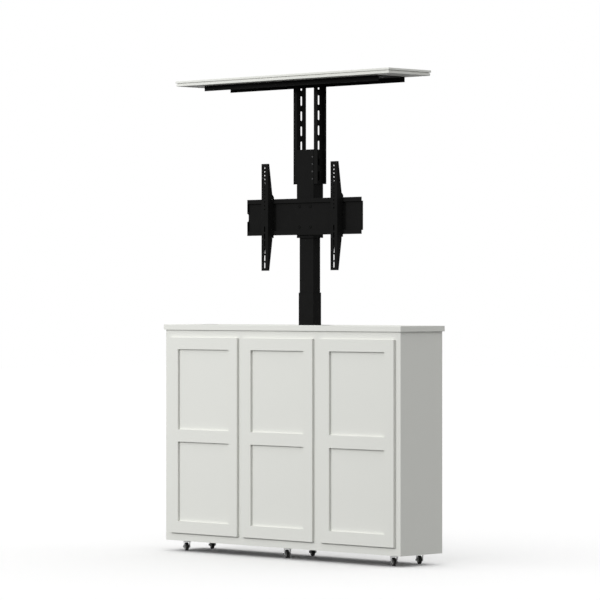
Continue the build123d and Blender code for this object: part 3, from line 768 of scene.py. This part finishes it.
@dataclass(frozen=True)
class Fastener:
    """One kind of screw or bolt, with its sizes; its head's underside sits on the seat."""

    head_radius: float
    head_height: float
    shank_radius: float
    shank_length: float
    drive: Drive = Drive.HEX_SOCKET
    hexagonal: bool = False
    dome_share: float = 0.75
    dome_steps: int = 5
    chamfer_share: float = 0.12
    chamfer_steps: int = 2
    recess_share: float = 0.6
    socket_share: float = 0.5
    slit_share: float = 0.22
    tip_share: float = 0.4
    tip_width: float = 0.7

    def build(self, name: str, seat: Point, axis: Point) -> bpy.types.Object:
        """Model one along +Z at the origin, then set it in its seat.

        Args:
            name: The piece's name.
            seat: Where the middle of the head's underside goes.
            axis: The way the head points.

        Returns:
            The screw, with its place in its mesh.
        """
        height = self.head_height
        if self.hexagonal:
            sides, radius = HEXAGON, self.head_radius * 2 / math.sqrt(3)
            edge, steps = self.chamfer_share, self.chamfer_steps
        else:
            sides, radius = ROUND_SIDES, self.head_radius
            edge, steps = self.dome_share, self.dome_steps
        bench = Bench(name).disc(radius, height, (0, 0, height / 2), sides)
        bench.edges(lambda a, b: min(a.z, b.z) > height - TINY)
        bench.round_edges(height * edge, steps)
        bench.faces(lambda centre, normal: normal.z < -FLAT)
        bench.inset(radius - self.shank_radius)
        tip = self.shank_radius * self.tip_share
        bench.pull(z=-self.shank_length + tip)
        bench.pull(z=-tip)
        bench.squeeze(self.tip_width, self.tip_width, 1.0, (0, 0, 0))
        screw = bench.close()
        for cutter in self.cutters():
            screw = bored(screw, cutter)
        turn = Vector(axis).to_track_quat("Z", "Y").to_matrix().to_4x4()
        screw.data.transform(Matrix.Translation(seat) @ turn)
        return screw

    def cutters(self) -> list[bpy.types.Object]:
        """Model the tools that sink the recess into the head.

        Returns:
            The tools, none for a head without a recess.
        """
        depth = self.head_height * self.recess_share
        middle = (0.0, 0.0, self.head_height - depth / 2 + TINY)
        if self.drive is Drive.HEX_SOCKET:
            reach = self.head_radius * self.socket_share
            return [Bench("socket").disc(reach, depth, middle, HEXAGON).close()]
        if self.drive is Drive.CROSS:
            reach, slit = self.head_radius, self.head_radius * self.slit_share
            first = Bench("slit_a").block((reach, slit, depth), middle).close()
            second = Bench("slit_b").block((slit, reach, depth), middle).close()
            return [first, second]
        return []

    def row(self, name: str, seats: Sequence[Point], axis: Point) -> bpy.types.Object:
        """Model one and copy it to every seat, as one piece.

        Args:
            name: The joined piece's name.
            seats: All the seats.
            axis: The way the heads point.

        Returns:
            The joined piece.
        """
        start = self.build("pattern", seats[0], axis)
        moves = [Matrix.Translation(Vector(seat) - Vector(seats[0])) for seat in seats]
        twins = [copied(start, f"{name}_{index}", move) for index, move in enumerate(moves)]
        bpy.data.objects.remove(start)
        return joined(name, twins)


LONG_WOOD_SCREW = Fastener(0.005, 0.0025, 0.0021, 0.0188, Drive.CROSS)
SHORT_WOOD_SCREW = Fastener(0.005, 0.0025, 0.0021, 0.0108, Drive.CROSS)
CARRIAGE_BOLT = Fastener(0.0043, 0.0028, 0.002, 0.0138)
PLATE_BOLT = Fastener(0.007, 0.0025, 0.004, 0.0039)
CHANNEL_BOLT = Fastener(0.0046, 0.003, 0.003, 0.0048, Drive.NONE, True)
CLAMP_BOLT = Fastener(0.0062, 0.0025, 0.0039, 0.0068, Drive.NONE, True)


@dataclass(frozen=True)
class Washer:
    """A flat ring with its outer rims broken."""

    outer: float
    bore: float
    depth: float
    rim_share: float = 0.1

    def build(self, name: str, centre: Point, axis: Point) -> bpy.types.Object:
        """Model one in its place.

        Args:
            name: The piece's name.
            centre: The ring's middle.
            axis: The way its flat faces look.

        Returns:
            The ring.
        """
        along, middle = Vector(axis), Vector(centre)
        rim = self.rim_share * self.depth
        bench = Bench(name).disc(self.outer, self.depth, centre, ROUND_SIDES, axis)
        bench.edges(lambda a, b: abs((a - b).dot(along)) < TINY).round_edges(rim)
        bench.faces(lambda place, normal: abs(normal.dot(along)) > FLAT)
        bench.inset(self.outer - rim - self.bore, True)
        bench.faces(lambda place, normal: (place - middle).length < self.depth)
        bench.tunnel()
        return bench.close()


@dataclass(frozen=True)
class HexNut:
    """A hexagon nut whose corners are broken on its outer side."""

    radius: float
    depth: float
    corner_share: float = 0.17

    def build(self, name: str, centre: Point, axis: Point) -> bpy.types.Object:
        """Model one in its place.

        Args:
            name: The piece's name.
            centre: The nut's middle.
            axis: The way its outer side looks.

        Returns:
            The nut.
        """
        along, middle = Vector(axis), Vector(centre)
        outer = self.depth / 2 - TINY
        bench = Bench(name).disc(self.radius, self.depth, centre, HEXAGON, axis)
        bench.edges(lambda a, b: min((a - middle).dot(along), (b - middle).dot(along)) > outer)
        bench.round_edges(self.corner_share * self.depth)
        return bench.close()


# Sub-assemblies


@dataclass
class Carcase:
    """The cabinet's boards, doors and hinges."""

    nodes: dict[str, bpy.types.Object]
    doors: tuple[str, ...] = ("left", "centre", "right")

    def build(self) -> None:
        """Lacquer the outside, the doors and the carcase, and plate the hinges."""
        dress(self.nodes, ("face_frame", "counter_top", "side_panel_left", "side_panel_right"), LACQUER)
        dress(self.nodes, ("bottom_panel", "back_panel"), INSIDE)
        for side in self.doors:
            dress(self.nodes, (f"door_{side}_frame", f"door_{side}_panels"), LACQUER)
            dress(self.nodes, (f"hinge_cups_{side}",), BRIGHT)
        dress(self.nodes, ("hinge_arms",), BRIGHT)


@dataclass
class Motor:
    """The lift motor: a drawn can between two end bells, with vents and a rear bearing boss.

    Heights are above the can's foot.
    """

    sides: int = 48
    neck_radius: float = 0.012
    neck_height: float = 0.008
    seams: tuple[float, float] = (0.02075, 0.08275)
    seam_width: float = 0.0015
    seam_squeeze: float = 0.965
    vent_middle: float = 0.092
    vent_height: float = 0.010
    vent_rim: float = 0.0006
    vent_squeeze: float = 0.93
    vent_spacing: int = 4
    shoulder: float = 0.004
    shoulder_steps: int = 4
    cap_rim: float = 0.012
    cap_sink: float = 0.002
    boss_rim: float = 0.002
    boss_rise: float = 0.0018

    def build(self) -> bpy.types.Object:
        """Model the motor in its node's place.

        Returns:
            The motor.
        """
        box = Box.of("lift_motor")
        x, y, _ = box.middle
        foot, top = box.low.z + self.neck_height, box.high.z
        bench = Bench("motor_can").disc(box.size.x / 2, top - foot, (x, y, (foot + top) / 2), self.sides)
        for seam in self.seams:
            self.band(bench, foot + seam, self.seam_width)
        for seam in self.seams:
            bench.faces(lambda centre, normal: abs(centre.z - foot - seam) < HAIR)
            bench.squeeze(self.seam_squeeze, self.seam_squeeze, 1.0, (x, y, 0))
        vents = foot + self.vent_middle
        self.band(bench, vents, self.vent_height)
        bench.faces(lambda centre, normal: abs(centre.z - vents) < HAIR and self.is_vent(centre, x, y))
        bench.inset(self.vent_rim, True).squeeze(self.vent_squeeze, self.vent_squeeze, 1.0, (x, y, 0))
        bench.edges(lambda a, b: min(a.z, b.z) > top - HAIR).round_edges(self.shoulder, self.shoulder_steps)
        bench.faces(lambda centre, normal: normal.z > FLAT and centre.z > top - HAIR)
        bench.inset(self.cap_rim).shift(z=-self.cap_sink)
        bench.inset(self.boss_rim).pull(z=self.boss_rise)
        can = bench.close()
        middle = (x, y, box.low.z + self.neck_height / 2)
        neck = Bench("motor_neck").disc(self.neck_radius, self.neck_height, middle).close()
        return joined("lift_motor_modelled", [can, neck])

    @staticmethod
    def band(bench: Bench, middle: float, height: float) -> None:
        """Cut a band round the can."""
        for edge in (middle - height / 2, middle + height / 2):
            bench.slice((0, 0, edge), UP)

    def is_vent(self, centre: Vector, x: float, y: float) -> bool:
        """Whether a face of the upper bell is one of its vents."""
        side = round(math.degrees(math.atan2(centre.y - y, centre.x - x)) * self.sides / 360.0)
        return side % self.vent_spacing == 0


@dataclass
class ControlBox:
    """The control box: a two-part moulded case with cooling slots and two sockets underneath."""

    front_share: float = 0.6
    seam_width: float = 0.0012
    seam_squeeze: Point = (0.986, 1.0, 0.98)
    front_round: float = 0.005
    round_steps: int = 4
    slots: int = 6
    slot_size: Point = (0.0035, 0.004, 0.045)
    slot_inset: float = 0.030
    slot_pitch: float = 0.008
    slot_rise: float = 0.012
    sockets: int = 2
    socket_size: Point = (0.016, 0.011, 0.012)
    socket_inset: float = 0.030
    socket_pitch: float = 0.028
    socket_forward: float = 0.004

    def build(self) -> bpy.types.Object:
        """Model the box in its node's place.

        Returns:
            The box.
        """
        box = Box.of("control_box")
        low, high, middle = box.low, box.high, box.middle
        bench = Bench("case").block(tuple(box.size), tuple(middle))
        seam = low.y + self.front_share * box.size.y
        for y in (seam - self.seam_width / 2, seam + self.seam_width / 2):
            bench.slice((0, y, 0), BACK)
        bench.faces(lambda centre, normal: abs(centre.y - seam) < HAIR)
        bench.squeeze(*self.seam_squeeze, tuple(middle))
        bench.edges(lambda a, b: max(a.y, b.y) < low.y + HAIR)
        bench.round_edges(self.front_round, self.round_steps)
        case = bench.close()
        for step in range(self.slots):
            place = (low.x + self.slot_inset + self.slot_pitch * step, low.y, middle.z + self.slot_rise)
            case = bored(case, Bench("slot").block(self.slot_size, place).close())
        for step in range(self.sockets):
            x = high.x - self.socket_inset - self.socket_pitch * step
            place = (x, middle.y - self.socket_forward, low.z)
            case = bored(case, Bench("socket").block(self.socket_size, place).close())
        case.name = "control_box_modelled"
        return case


@dataclass
class Column:
    """The three nested tubes, their collars, feet and lead screws, and what stands at their foot."""

    nodes: dict[str, bpy.types.Object]
    foot_screw_inset: float = 0.012
    bracket_screw_inset: float = 0.013
    bracket_sheet: float = 0.003

    def build(self) -> None:
        """Coat the tubes and dress the drive."""
        dress(self.nodes, ("outer_tube", "middle_tube", "inner_tube"), BLACK)
        dress(self.nodes, ("wall_bracket", "lift_base_plate"), BLACK)
        dress(self.nodes, ("outer_glide", "middle_glide", "middle_foot", "inner_foot"), COLLAR_PLASTIC)
        dress(self.nodes, ("gear_case",), GREY_PLASTIC)
        self.wood_screws()
        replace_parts(fit(Motor().build(), "cabinet", MOTOR_PAINT), "lift_motor")
        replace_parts(fit(ControlBox().build(), "cabinet", BLACK_PLASTIC), "control_box")
        for name in ("drive_screw", "upper_screw"):
            middle = Box.of(name).middle
            thread = RolledThread(f"{name}_thread", SCREW_STEEL, Sheen.SMOOTH, middle.x, middle.y)
            dress(self.nodes, (name,), thread)

    def wood_screws(self) -> None:
        """Fit cross-head screws in the foot plate and in the wall bracket."""
        foot, bracket = Box.of("lift_base_plate"), Box.of("wall_bracket")
        sides, depths = (foot.row(axis, 2, self.foot_screw_inset) for axis in (0, 1))
        down = [(x, y, foot.high.z) for x in sides for y in depths]
        sides, heights = (bracket.row(axis, 2, self.bracket_screw_inset) for axis in (0, 2))
        back = [(x, bracket.high.y - self.bracket_sheet, z) for x in sides for z in heights]
        rows = [
            LONG_WOOD_SCREW.row("foot_screws", down, UP),
            SHORT_WOOD_SCREW.row("bracket_screws", back, FRONT),
        ]
        screws = fit(joined("lift_screws_modelled", rows), "cabinet", BRIGHT)
        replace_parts(screws, "lift_screws")


@dataclass
class Carriage:
    """The carriage, its spacer bars, the mount plate, the arms and the bolts between them."""

    nodes: dict[str, bpy.types.Object]
    front_bolt_count: int = 4
    plate_sheet: float = 0.002

    def build(self) -> None:
        """Coat the folded steel and fit the bolts."""
        dress(self.nodes, ("carriage", "carriage_bars", "mount_plate"), BLACK)
        for side in ("left", "right"):
            dress(self.nodes, (f"arm_{side}", f"arm_lock_{side}"), BLACK)
        self.front_bolts()
        self.plate_bolts()

    def front_bolts(self) -> None:
        """Fit four button heads down the right of the carriage's front."""
        bolts = Box.of("carriage_bolts")
        face = Box.of("carriage").low.y
        heights = bolts.row(2, self.front_bolt_count, CARRIAGE_BOLT.head_radius)
        seats = [(bolts.middle.x, face, z) for z in heights]
        row = CARRIAGE_BOLT.row("carriage_bolts_modelled", seats, FRONT)
        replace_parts(fit(row, "inner_stage", DARK_ZINC), "carriage_bolts")

    def plate_bolts(self) -> None:
        """Fit four low button heads in the plate's web."""
        bolts = Box.of("plate_bolts")
        face = Box.of("carriage").low.y - self.plate_sheet
        sides, heights = (bolts.row(axis, 2, PLATE_BOLT.head_radius) for axis in (0, 2))
        seats = [(x, face, z) for x in sides for z in heights]
        row = PLATE_BOLT.row("plate_bolts_modelled", seats, FRONT)
        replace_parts(fit(row, "inner_stage", BLACK), "plate_bolts")


@dataclass
class LidBracket:
    """The slotted uprights, the channel, the lid and their bolts."""

    nodes: dict[str, bpy.types.Object]
    sheet: float = 0.0025
    bolt_inset: float = 0.0055
    lid_screw_places: int = 7
    nut_gap: float = 0.0027
    washer: Washer = Washer(0.0075, CLAMP_BOLT.shank_radius, 0.0014)
    nut: HexNut = HexNut(0.0073, 0.0029)

    def build(self) -> None:
        """Coat the steel, lacquer the lid and fit the bolts and screws."""
        dress(self.nodes, ("upright_left", "upright_right", "lid_channel"), BLACK)
        dress(self.nodes, ("lid",), LACQUER)
        self.clamps()
        self.channel_bolts()
        self.lid_screws()

    def channel_bolts(self) -> None:
        """Fit hexagon heads under the uprights' turned feet."""
        bolts = Box.of("channel_bolts")
        foot = Box.of("upright_left").high.z - self.sheet
        sides, depths = (bolts.row(axis, 2, self.bolt_inset) for axis in (0, 1))
        seats = [(x, y, foot) for x in sides for y in depths]
        row = CHANNEL_BOLT.row("channel_bolts_modelled", seats, DOWN)
        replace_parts(fit(row, "lid_bracket", BLACK), "channel_bolts")

    def lid_screws(self) -> None:
        """Fit three screws on each side, evenly spaced, with none on the column's axis."""
        screws = Box.of("lid_screws")
        web = Box.of("lid").low.z - self.sheet
        places = screws.row(0, self.lid_screw_places, SHORT_WOOD_SCREW.head_radius)
        seats = [(x, screws.middle.y, web) for x in places if abs(x) > TINY]
        row = SHORT_WOOD_SCREW.row("lid_screws_modelled", seats, DOWN)
        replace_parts(fit(row, "lid_bracket", DARK_ZINC), "lid_screws")

    def clamps(self) -> None:
        """Fit the two hexagon bolts that clamp the uprights to the carriage, with washers and nuts."""
        _, y, z = Box.of("clamp_bolts").middle
        web = Box.of("upright_right").low.x + self.sheet
        inside = Box.of("carriage").high.x - self.nut_gap
        parts = []
        for hand in (-1, 1):
            seat = (hand * (web + self.washer.depth), y, z)
            parts.append(CLAMP_BOLT.build("clamp", seat, (hand, 0, 0)))
            middle = (hand * (web + self.washer.depth / 2), y, z)
            parts.append(self.washer.build("washer", middle, (hand, 0, 0)))
            middle = (hand * (inside - self.nut.depth / 2), y, z)
            parts.append(self.nut.build("nut", middle, (-hand, 0, 0)))
        row = fit(joined("clamp_bolts_modelled", parts), "lid_bracket", BLACK)
        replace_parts(row, "clamp_bolts")


@dataclass
class Casters:
    """Six swivel casters, all turned the same way.

    The parts are modelled with the swivel's axis on Z, rolling along +X, and then copied to each place.
    """

    nodes: dict[str, bpy.types.Object]
    plate_radius: float = 0.017
    heading: float = 150.8
    trail: float = 0.006
    wheel_radius: float = 0.0175
    wheel_width: float = 0.012
    wheel_sides: int = 64
    shoulder: float = 0.0024
    shoulder_steps: int = 4
    grooves: tuple[float, float] = (0.0018, 0.0030)
    groove_squeeze: float = 0.965
    hub_radius: float = 0.0115
    hub_width: float = 0.022
    hub_rim: float = 0.0012
    web_sink: float = 0.0008
    ribs: int = 6
    faces_per_rib: int = 6
    rib_degrees: float = 10.5
    pocket_rim: float = 0.0003
    pocket_depth: float = 0.0016
    boss_radius: float = 0.006
    boss_rim: float = 0.0012
    boss_dish: float = 0.0003
    broken_edge: float = 0.0005
    leg_gap: float = 0.0115
    leg_sheet: float = 0.0018
    leg_flare: float = 4 / 3
    leg_overlap: float = 0.0002
    panel_rim: float = 0.0028
    panel_depth: float = 0.0005
    crown_bottom: float = 0.0372
    crown_top: float = 0.0392
    crown_radius: float = 0.016
    crown_round: float = 0.0012
    crown_sides: int = 48
    swivel_top: float = 0.0417
    swivel_radius: float = 0.010
    swivel_round: float = 0.0007
    crown_steps: int = 3
    axle_radius: float = 0.0025
    axle_head: float = 0.0035
    axle_head_height: float = 0.0025
    axle_nut: HexNut = HexNut(0.004, 0.0023)

    @property
    def hub(self) -> Point:
        """The wheel's centre."""
        return (self.trail, 0.0, self.wheel_radius)

    @property
    def leg_face(self) -> float:
        """How far out the legs' outer faces are."""
        return self.leg_gap + self.leg_sheet

    def build(self) -> None:
        """Model one caster and copy it to the six places."""
        # The forks' and plates' plating and the hub moulding are lightened to paint in bounce light from
        # the floor
        dress(self.nodes, ("caster_plates",), FORK_PLATE_WITH_PAINTED_BOUNCE)
        patterns = (
            (self.fork(), "caster", "white_metal", FORK_PLATE_WITH_PAINTED_BOUNCE, "caster_fork"),
            (self.axle(), "caster", "bright_steel", AXLE_STEEL, None),
            (self.tyre(), "wheel", "wheel_rubber", RUBBER, "caster_wheel"),
            (self.wheel_hub(), "wheel", "wheel_rubber", HUB_PLASTIC_WITH_PAINTED_BOUNCE, None),
        )
        turn = Matrix.Rotation(math.radians(self.heading), 4, "Z")
        plates = Box.of("caster_plates")
        sides, depths = plates.row(0, 3, self.plate_radius), plates.row(1, 2, self.plate_radius)
        places = [(x, y) for y in depths for x in sides]
        for pattern, body, slot, finish, stands_for in patterns:
            for number, (x, y) in enumerate(places, start=1):
                piece = copied(pattern, f"{pattern.name}_{number}", Matrix.Translation((x, y, 0)) @ turn)
                fit(piece, f"{body}_{number}", finish)
                if stands_for is not None:
                    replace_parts(piece, f"{stands_for}_{number}")
            bpy.data.objects.remove(pattern)

    def fork(self) -> bpy.types.Object:
        """Model the pressed fork: a crown with its ball race, and two legs.

        Returns:
            The fork.
        """
        middle, depth = (self.crown_bottom + self.crown_top) / 2, self.crown_top - self.crown_bottom
        crown = Bench("crown").disc(self.crown_radius, depth, (0, 0, middle), self.crown_sides)
        crown.edges(lambda a, b: min(a.z, b.z) > middle).round_edges(self.crown_round, self.crown_steps)
        crown.faces(lambda centre, normal: normal.z > FLAT)
        crown.inset(self.crown_radius - self.crown_round - self.swivel_radius)
        crown.pull(z=self.swivel_top - self.crown_top)
        crown.edges(lambda a, b: min(a.z, b.z) > self.swivel_top - HAIR)
        crown.round_edges(self.swivel_round, self.crown_steps)
        pieces = [crown.close()]
        for hand in (-1, 1):
            pieces.append(self.leg(hand))
            pieces.append(self.leg_boss(hand))
        return joined("fork_body", pieces)

    def leg(self, hand: int) -> bpy.types.Object:
        """Model one leg of the fork, with a pressed panel in its outer face.

        Args:
            hand: 1 for the leg on the +Y side, -1 for the other.

        Returns:
            The leg.
        """
        low, high = self.wheel_radius, self.crown_bottom + self.leg_overlap
        size = (2 * self.boss_radius, self.leg_sheet, high - low)
        place = (self.trail, hand * (self.leg_gap + self.leg_sheet / 2), (low + high) / 2)
        bench = Bench("leg").block(size, place)
        bench.faces(lambda centre, normal: normal.z > FLAT)
        bench.squeeze(self.leg_flare, 1.0, 1.0, (self.trail, 0, high)).shift(x=-self.trail)
        bench.faces(lambda centre, normal: normal.y * hand > FLAT)
        bench.inset(self.panel_rim).shift(y=-hand * self.panel_depth)
        bench.edges(self.is_upright_rim).round_edges(self.broken_edge)
        return bench.close()

    def is_upright_rim(self, a: Vector, b: Vector) -> bool:
        """Whether an edge is the steep one of a leg's outer face."""
        return min(abs(a.y), abs(b.y)) > self.leg_face - HAIR and abs(a.x - b.x) < self.boss_radius

    def leg_boss(self, hand: int) -> bpy.types.Object:
        """Model the round end of a leg, about the axle.

        Args:
            hand: 1 for the leg on the +Y side, -1 for the other.

        Returns:
            The boss.
        """
        place = (self.trail, hand * (self.leg_gap + self.leg_sheet / 2), self.wheel_radius)
        bench = Bench("leg_boss").disc(self.boss_radius, self.leg_sheet, place, ROUND_SIDES, (0, hand, 0))
        bench.faces(lambda centre, normal: normal.y * hand > FLAT)
        bench.inset(self.boss_rim).shift(y=-hand * self.boss_dish)
        return bench.close()

    def axle(self) -> bpy.types.Object:
        """Model the axle bolt: hexagon head, shank and nut.

        Returns:
            The axle.
        """
        x, _, z = self.hub
        span = 2 * self.leg_face
        bolt = Fastener(self.axle_head, self.axle_head_height, self.axle_radius, span, Drive.NONE, True)
        head = bolt.build("axle_bolt", (x, self.leg_face, z), BACK)
        nut = self.axle_nut.build("axle_nut", (x, -self.leg_face - self.axle_nut.depth / 2, z), FRONT)
        return joined("axle", [head, nut])

    def tyre(self) -> bpy.types.Object:
        """Model the tread ring, with rounded shoulders and two shallow grooves.

        Returns:
            The tyre.
        """
        inner, outer = self.grooves
        bench = Bench("wheel_tyre")
        bench.disc(self.wheel_radius, self.wheel_width, self.hub, self.wheel_sides, BACK)
        bench.faces(lambda centre, normal: abs(normal.y) > FLAT)
        bench.inset(self.wheel_radius - self.hub_radius, True)
        bench.faces(lambda centre, normal: abs(normal.y) > FLAT and self.from_axle(centre) < NEAR)
        bench.tunnel()
        for y in (-outer, -inner, inner, outer):
            bench.slice((0, y, 0), BACK)
        bench.faces(lambda centre, normal: inner < abs(centre.y) < outer and self.is_tread(centre))
        bench.squeeze(self.groove_squeeze, 1.0, self.groove_squeeze, self.hub)
        bench.edges(lambda a, b: self.is_shoulder(a) and self.is_shoulder(b))
        bench.round_edges(self.shoulder, self.shoulder_steps)
        return bench.close()

    def from_axle(self, point: Vector) -> float:
        """How far a point lies from the axle."""
        return math.hypot(point.x - self.trail, point.z - self.wheel_radius)

    def is_tread(self, point: Vector) -> bool:
        """Whether a point lies on the tread and not in the bore."""
        return self.from_axle(point) > self.wheel_radius - NEAR

    def is_shoulder(self, point: Vector) -> bool:
        """Whether a point lies where the tread meets a side of the wheel."""
        return self.is_tread(point) and abs(point.y) > self.wheel_width / 2 - HAIR

    def wheel_hub(self) -> bpy.types.Object:
        """Model the hub: a sunk web with ribs round a boss.

        Returns:
            The hub.
        """
        sides = self.faces_per_rib * self.ribs
        web = self.wheel_width / 2 - self.web_sink
        face = self.hub_width / 2
        bench = Bench("wheel_hub").disc(self.hub_radius, self.wheel_width, self.hub, sides, BACK)
        bench.faces(lambda centre, normal: abs(normal.y) > FLAT)
        bench.inset(self.hub_rim, True)
        for hand in (-1, 1):
            bench.faces(lambda centre, normal: normal.y * hand > FLAT and self.from_axle(centre) < NEAR)
            bench.pull(y=-hand * self.web_sink).inset(self.hub_radius - self.hub_rim - self.boss_radius)
            bench.pull(y=hand * (face - web))
            bench.edges(lambda a, b: min(a.y * hand, b.y * hand) > face - HAIR)
            bench.round_edges(self.broken_edge)
            bench.faces(lambda centre, normal: normal.y * hand > FLAT and self.is_pocket(centre))
            bench.inset(self.pocket_rim).shift(y=-hand * self.pocket_depth)
        return bench.close()

    def is_pocket(self, centre: Vector) -> bool:
        """Whether a web face lies between two ribs.

        Args:
            centre: The face's middle.

        Returns:
            Whether it does.
        """
        turn = math.degrees(math.atan2(centre.z - self.wheel_radius, centre.x - self.trail))
        past_rib = turn % (360.0 / self.ribs) > self.rib_degrees
        return past_rib and self.boss_radius < self.from_axle(centre) < self.hub_radius - self.hub_rim


# Studio


@dataclass
class Studio:
    """The floor, the soft light and the camera at the photo's angle."""

    camera_place: Point = (9.7669, -9.9223, 1.0604)
    camera_turn: float = 44.55
    lens: float = 202.6
    sensor: float = 36.0
    view_reach: float = 200.0
    dome: float = 1.0
    key_power: float = 303.0
    key_place: Point = (-3.2, -6.8, 3.5)
    key_aim: Point = (0.0, 0.0, 1.0)
    key_size: float = 1.6
    floor_size: float = 60.0
    floor_seen: float = 1.03
    floor_lighting: float = 0.08

    def build(self) -> None:
        """Set up the view, the world, the lamp, the floor and the camera."""
        scene = bpy.context.scene
        scene.view_settings.view_transform = "Standard"
        self.make_world(scene)
        self.keep_off(self.make_lamp(scene), self.make_floor())
        self.make_camera(scene)

    def make_world(self, scene: bpy.types.Scene) -> None:
        """Make an even white dome, which is both the backdrop and the soft light.

        Args:
            scene: The scene that it surrounds.
        """
        world = bpy.data.worlds.new("studio_world")
        world.use_nodes = True
        scene.world = world
        sheet = Sheet(world.node_tree)
        light: Feeds = {"Color": grown(WHITE, 1.0), "Strength": self.dome}
        sheet.add("ShaderNodeOutputWorld", {}, {"Surface": sheet.out("ShaderNodeBackground", {}, light, 0)})

    def make_lamp(self, scene: bpy.types.Scene) -> bpy.types.Object:
        """Make a square soft box aimed at the middle of the object.

        Args:
            scene: The scene that it lights.

        Returns:
            The lamp.
        """
        data = bpy.data.lights.new("key_light", "AREA")
        data.shape = "SQUARE"
        data.size = self.key_size
        data.energy = self.key_power
        lamp = bpy.data.objects.new("key_light", data)
        lamp.location = self.key_place
        aim = Vector(self.key_aim) - Vector(self.key_place)
        lamp.rotation_euler = aim.to_track_quat("-Z", "Y").to_euler()
        scene.collection.objects.link(lamp)
        return lamp

    @staticmethod
    def keep_off(lamp: bpy.types.Object, floor: bpy.types.Object) -> None:
        """Keep the lamp off the floor, so that only the dome's soft shadow shows on it.

        Args:
            lamp: The lamp.
            floor: What it doesn't light.
        """
        lit = bpy.data.collections.new("key_light_receivers")
        lit.objects.link(floor)
        lit.collection_objects[0].light_linking.link_state = "EXCLUDE"
        lamp.light_linking.receiver_collection = lit

    def make_floor(self) -> bpy.types.Object:
        """Make a floor as white as the backdrop to the eye, which throws little light on the object.

        Returns:
            The floor.
        """
        bpy.ops.object.select_all(action="DESELECT")
        bpy.ops.mesh.primitive_plane_add(size=self.floor_size, location=(0, 0, 0))
        floor = bpy.context.object
        floor.name = "studio_floor"
        material = bpy.data.materials.new("studio_floor")
        material.use_nodes = True
        sheet = Sheet(material.node_tree)
        seen = self.diffuse(sheet, self.floor_seen)
        dull = self.diffuse(sheet, self.floor_lighting)
        feeds: Feeds = {0: self.seen_plainly(sheet), 1: dull, 2: seen}
        mixed = sheet.out("ShaderNodeMixShader", {}, feeds, 0)
        sheet.add("ShaderNodeOutputMaterial", {}, {"Surface": mixed})
        floor.data.materials.append(material)
        return floor

    @staticmethod
    def diffuse(sheet: Sheet, lightness: float) -> Value:
        """A plain white or grey surface."""
        return sheet.out("ShaderNodeBsdfDiffuse", {}, {"Color": grown(WHITE, lightness)}, 0)

    @staticmethod
    def seen_plainly(sheet: Sheet) -> Value:
        """Tell rays from the camera, from gloss and through glass from all others.

        Args:
            sheet: The material's tree.

        Returns:
            1 for those rays and 0 for the others.
        """
        path = sheet.add("ShaderNodeLightPath", {}, {})
        names = ("Is Camera Ray", "Is Glossy Ray", "Is Transmission Ray")
        camera, glossy, through = (Value(sheet, path.outputs[name]) for name in names)
        return (camera + glossy + through).limited()

    def make_camera(self, scene: bpy.types.Scene) -> None:
        """Make a level camera with a long lens, a little above the counter's height.

        Args:
            scene: The scene that it shows.
        """
        data = bpy.data.cameras.new("photo_camera")
        data.lens = self.lens
        data.sensor_width = self.sensor
        data.clip_end = self.view_reach
        camera = bpy.data.objects.new("photo_camera", data)
        camera.location = self.camera_place
        camera.rotation_euler = (math.pi / 2, 0.0, math.radians(self.camera_turn))
        scene.collection.objects.link(camera)
        scene.camera = camera


def main() -> None:
    """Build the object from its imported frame, piece by piece, and its studio."""
    logging.basicConfig(level=logging.INFO, format="%(name)s %(message)s")
    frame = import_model()
    nodes = frame["nodes"]
    for assembly in (Carcase(nodes), Column(nodes), Carriage(nodes), LidBracket(nodes), Casters(nodes)):
        assembly.build()
    Studio().build()


if __name__ == "__main__":
    main()
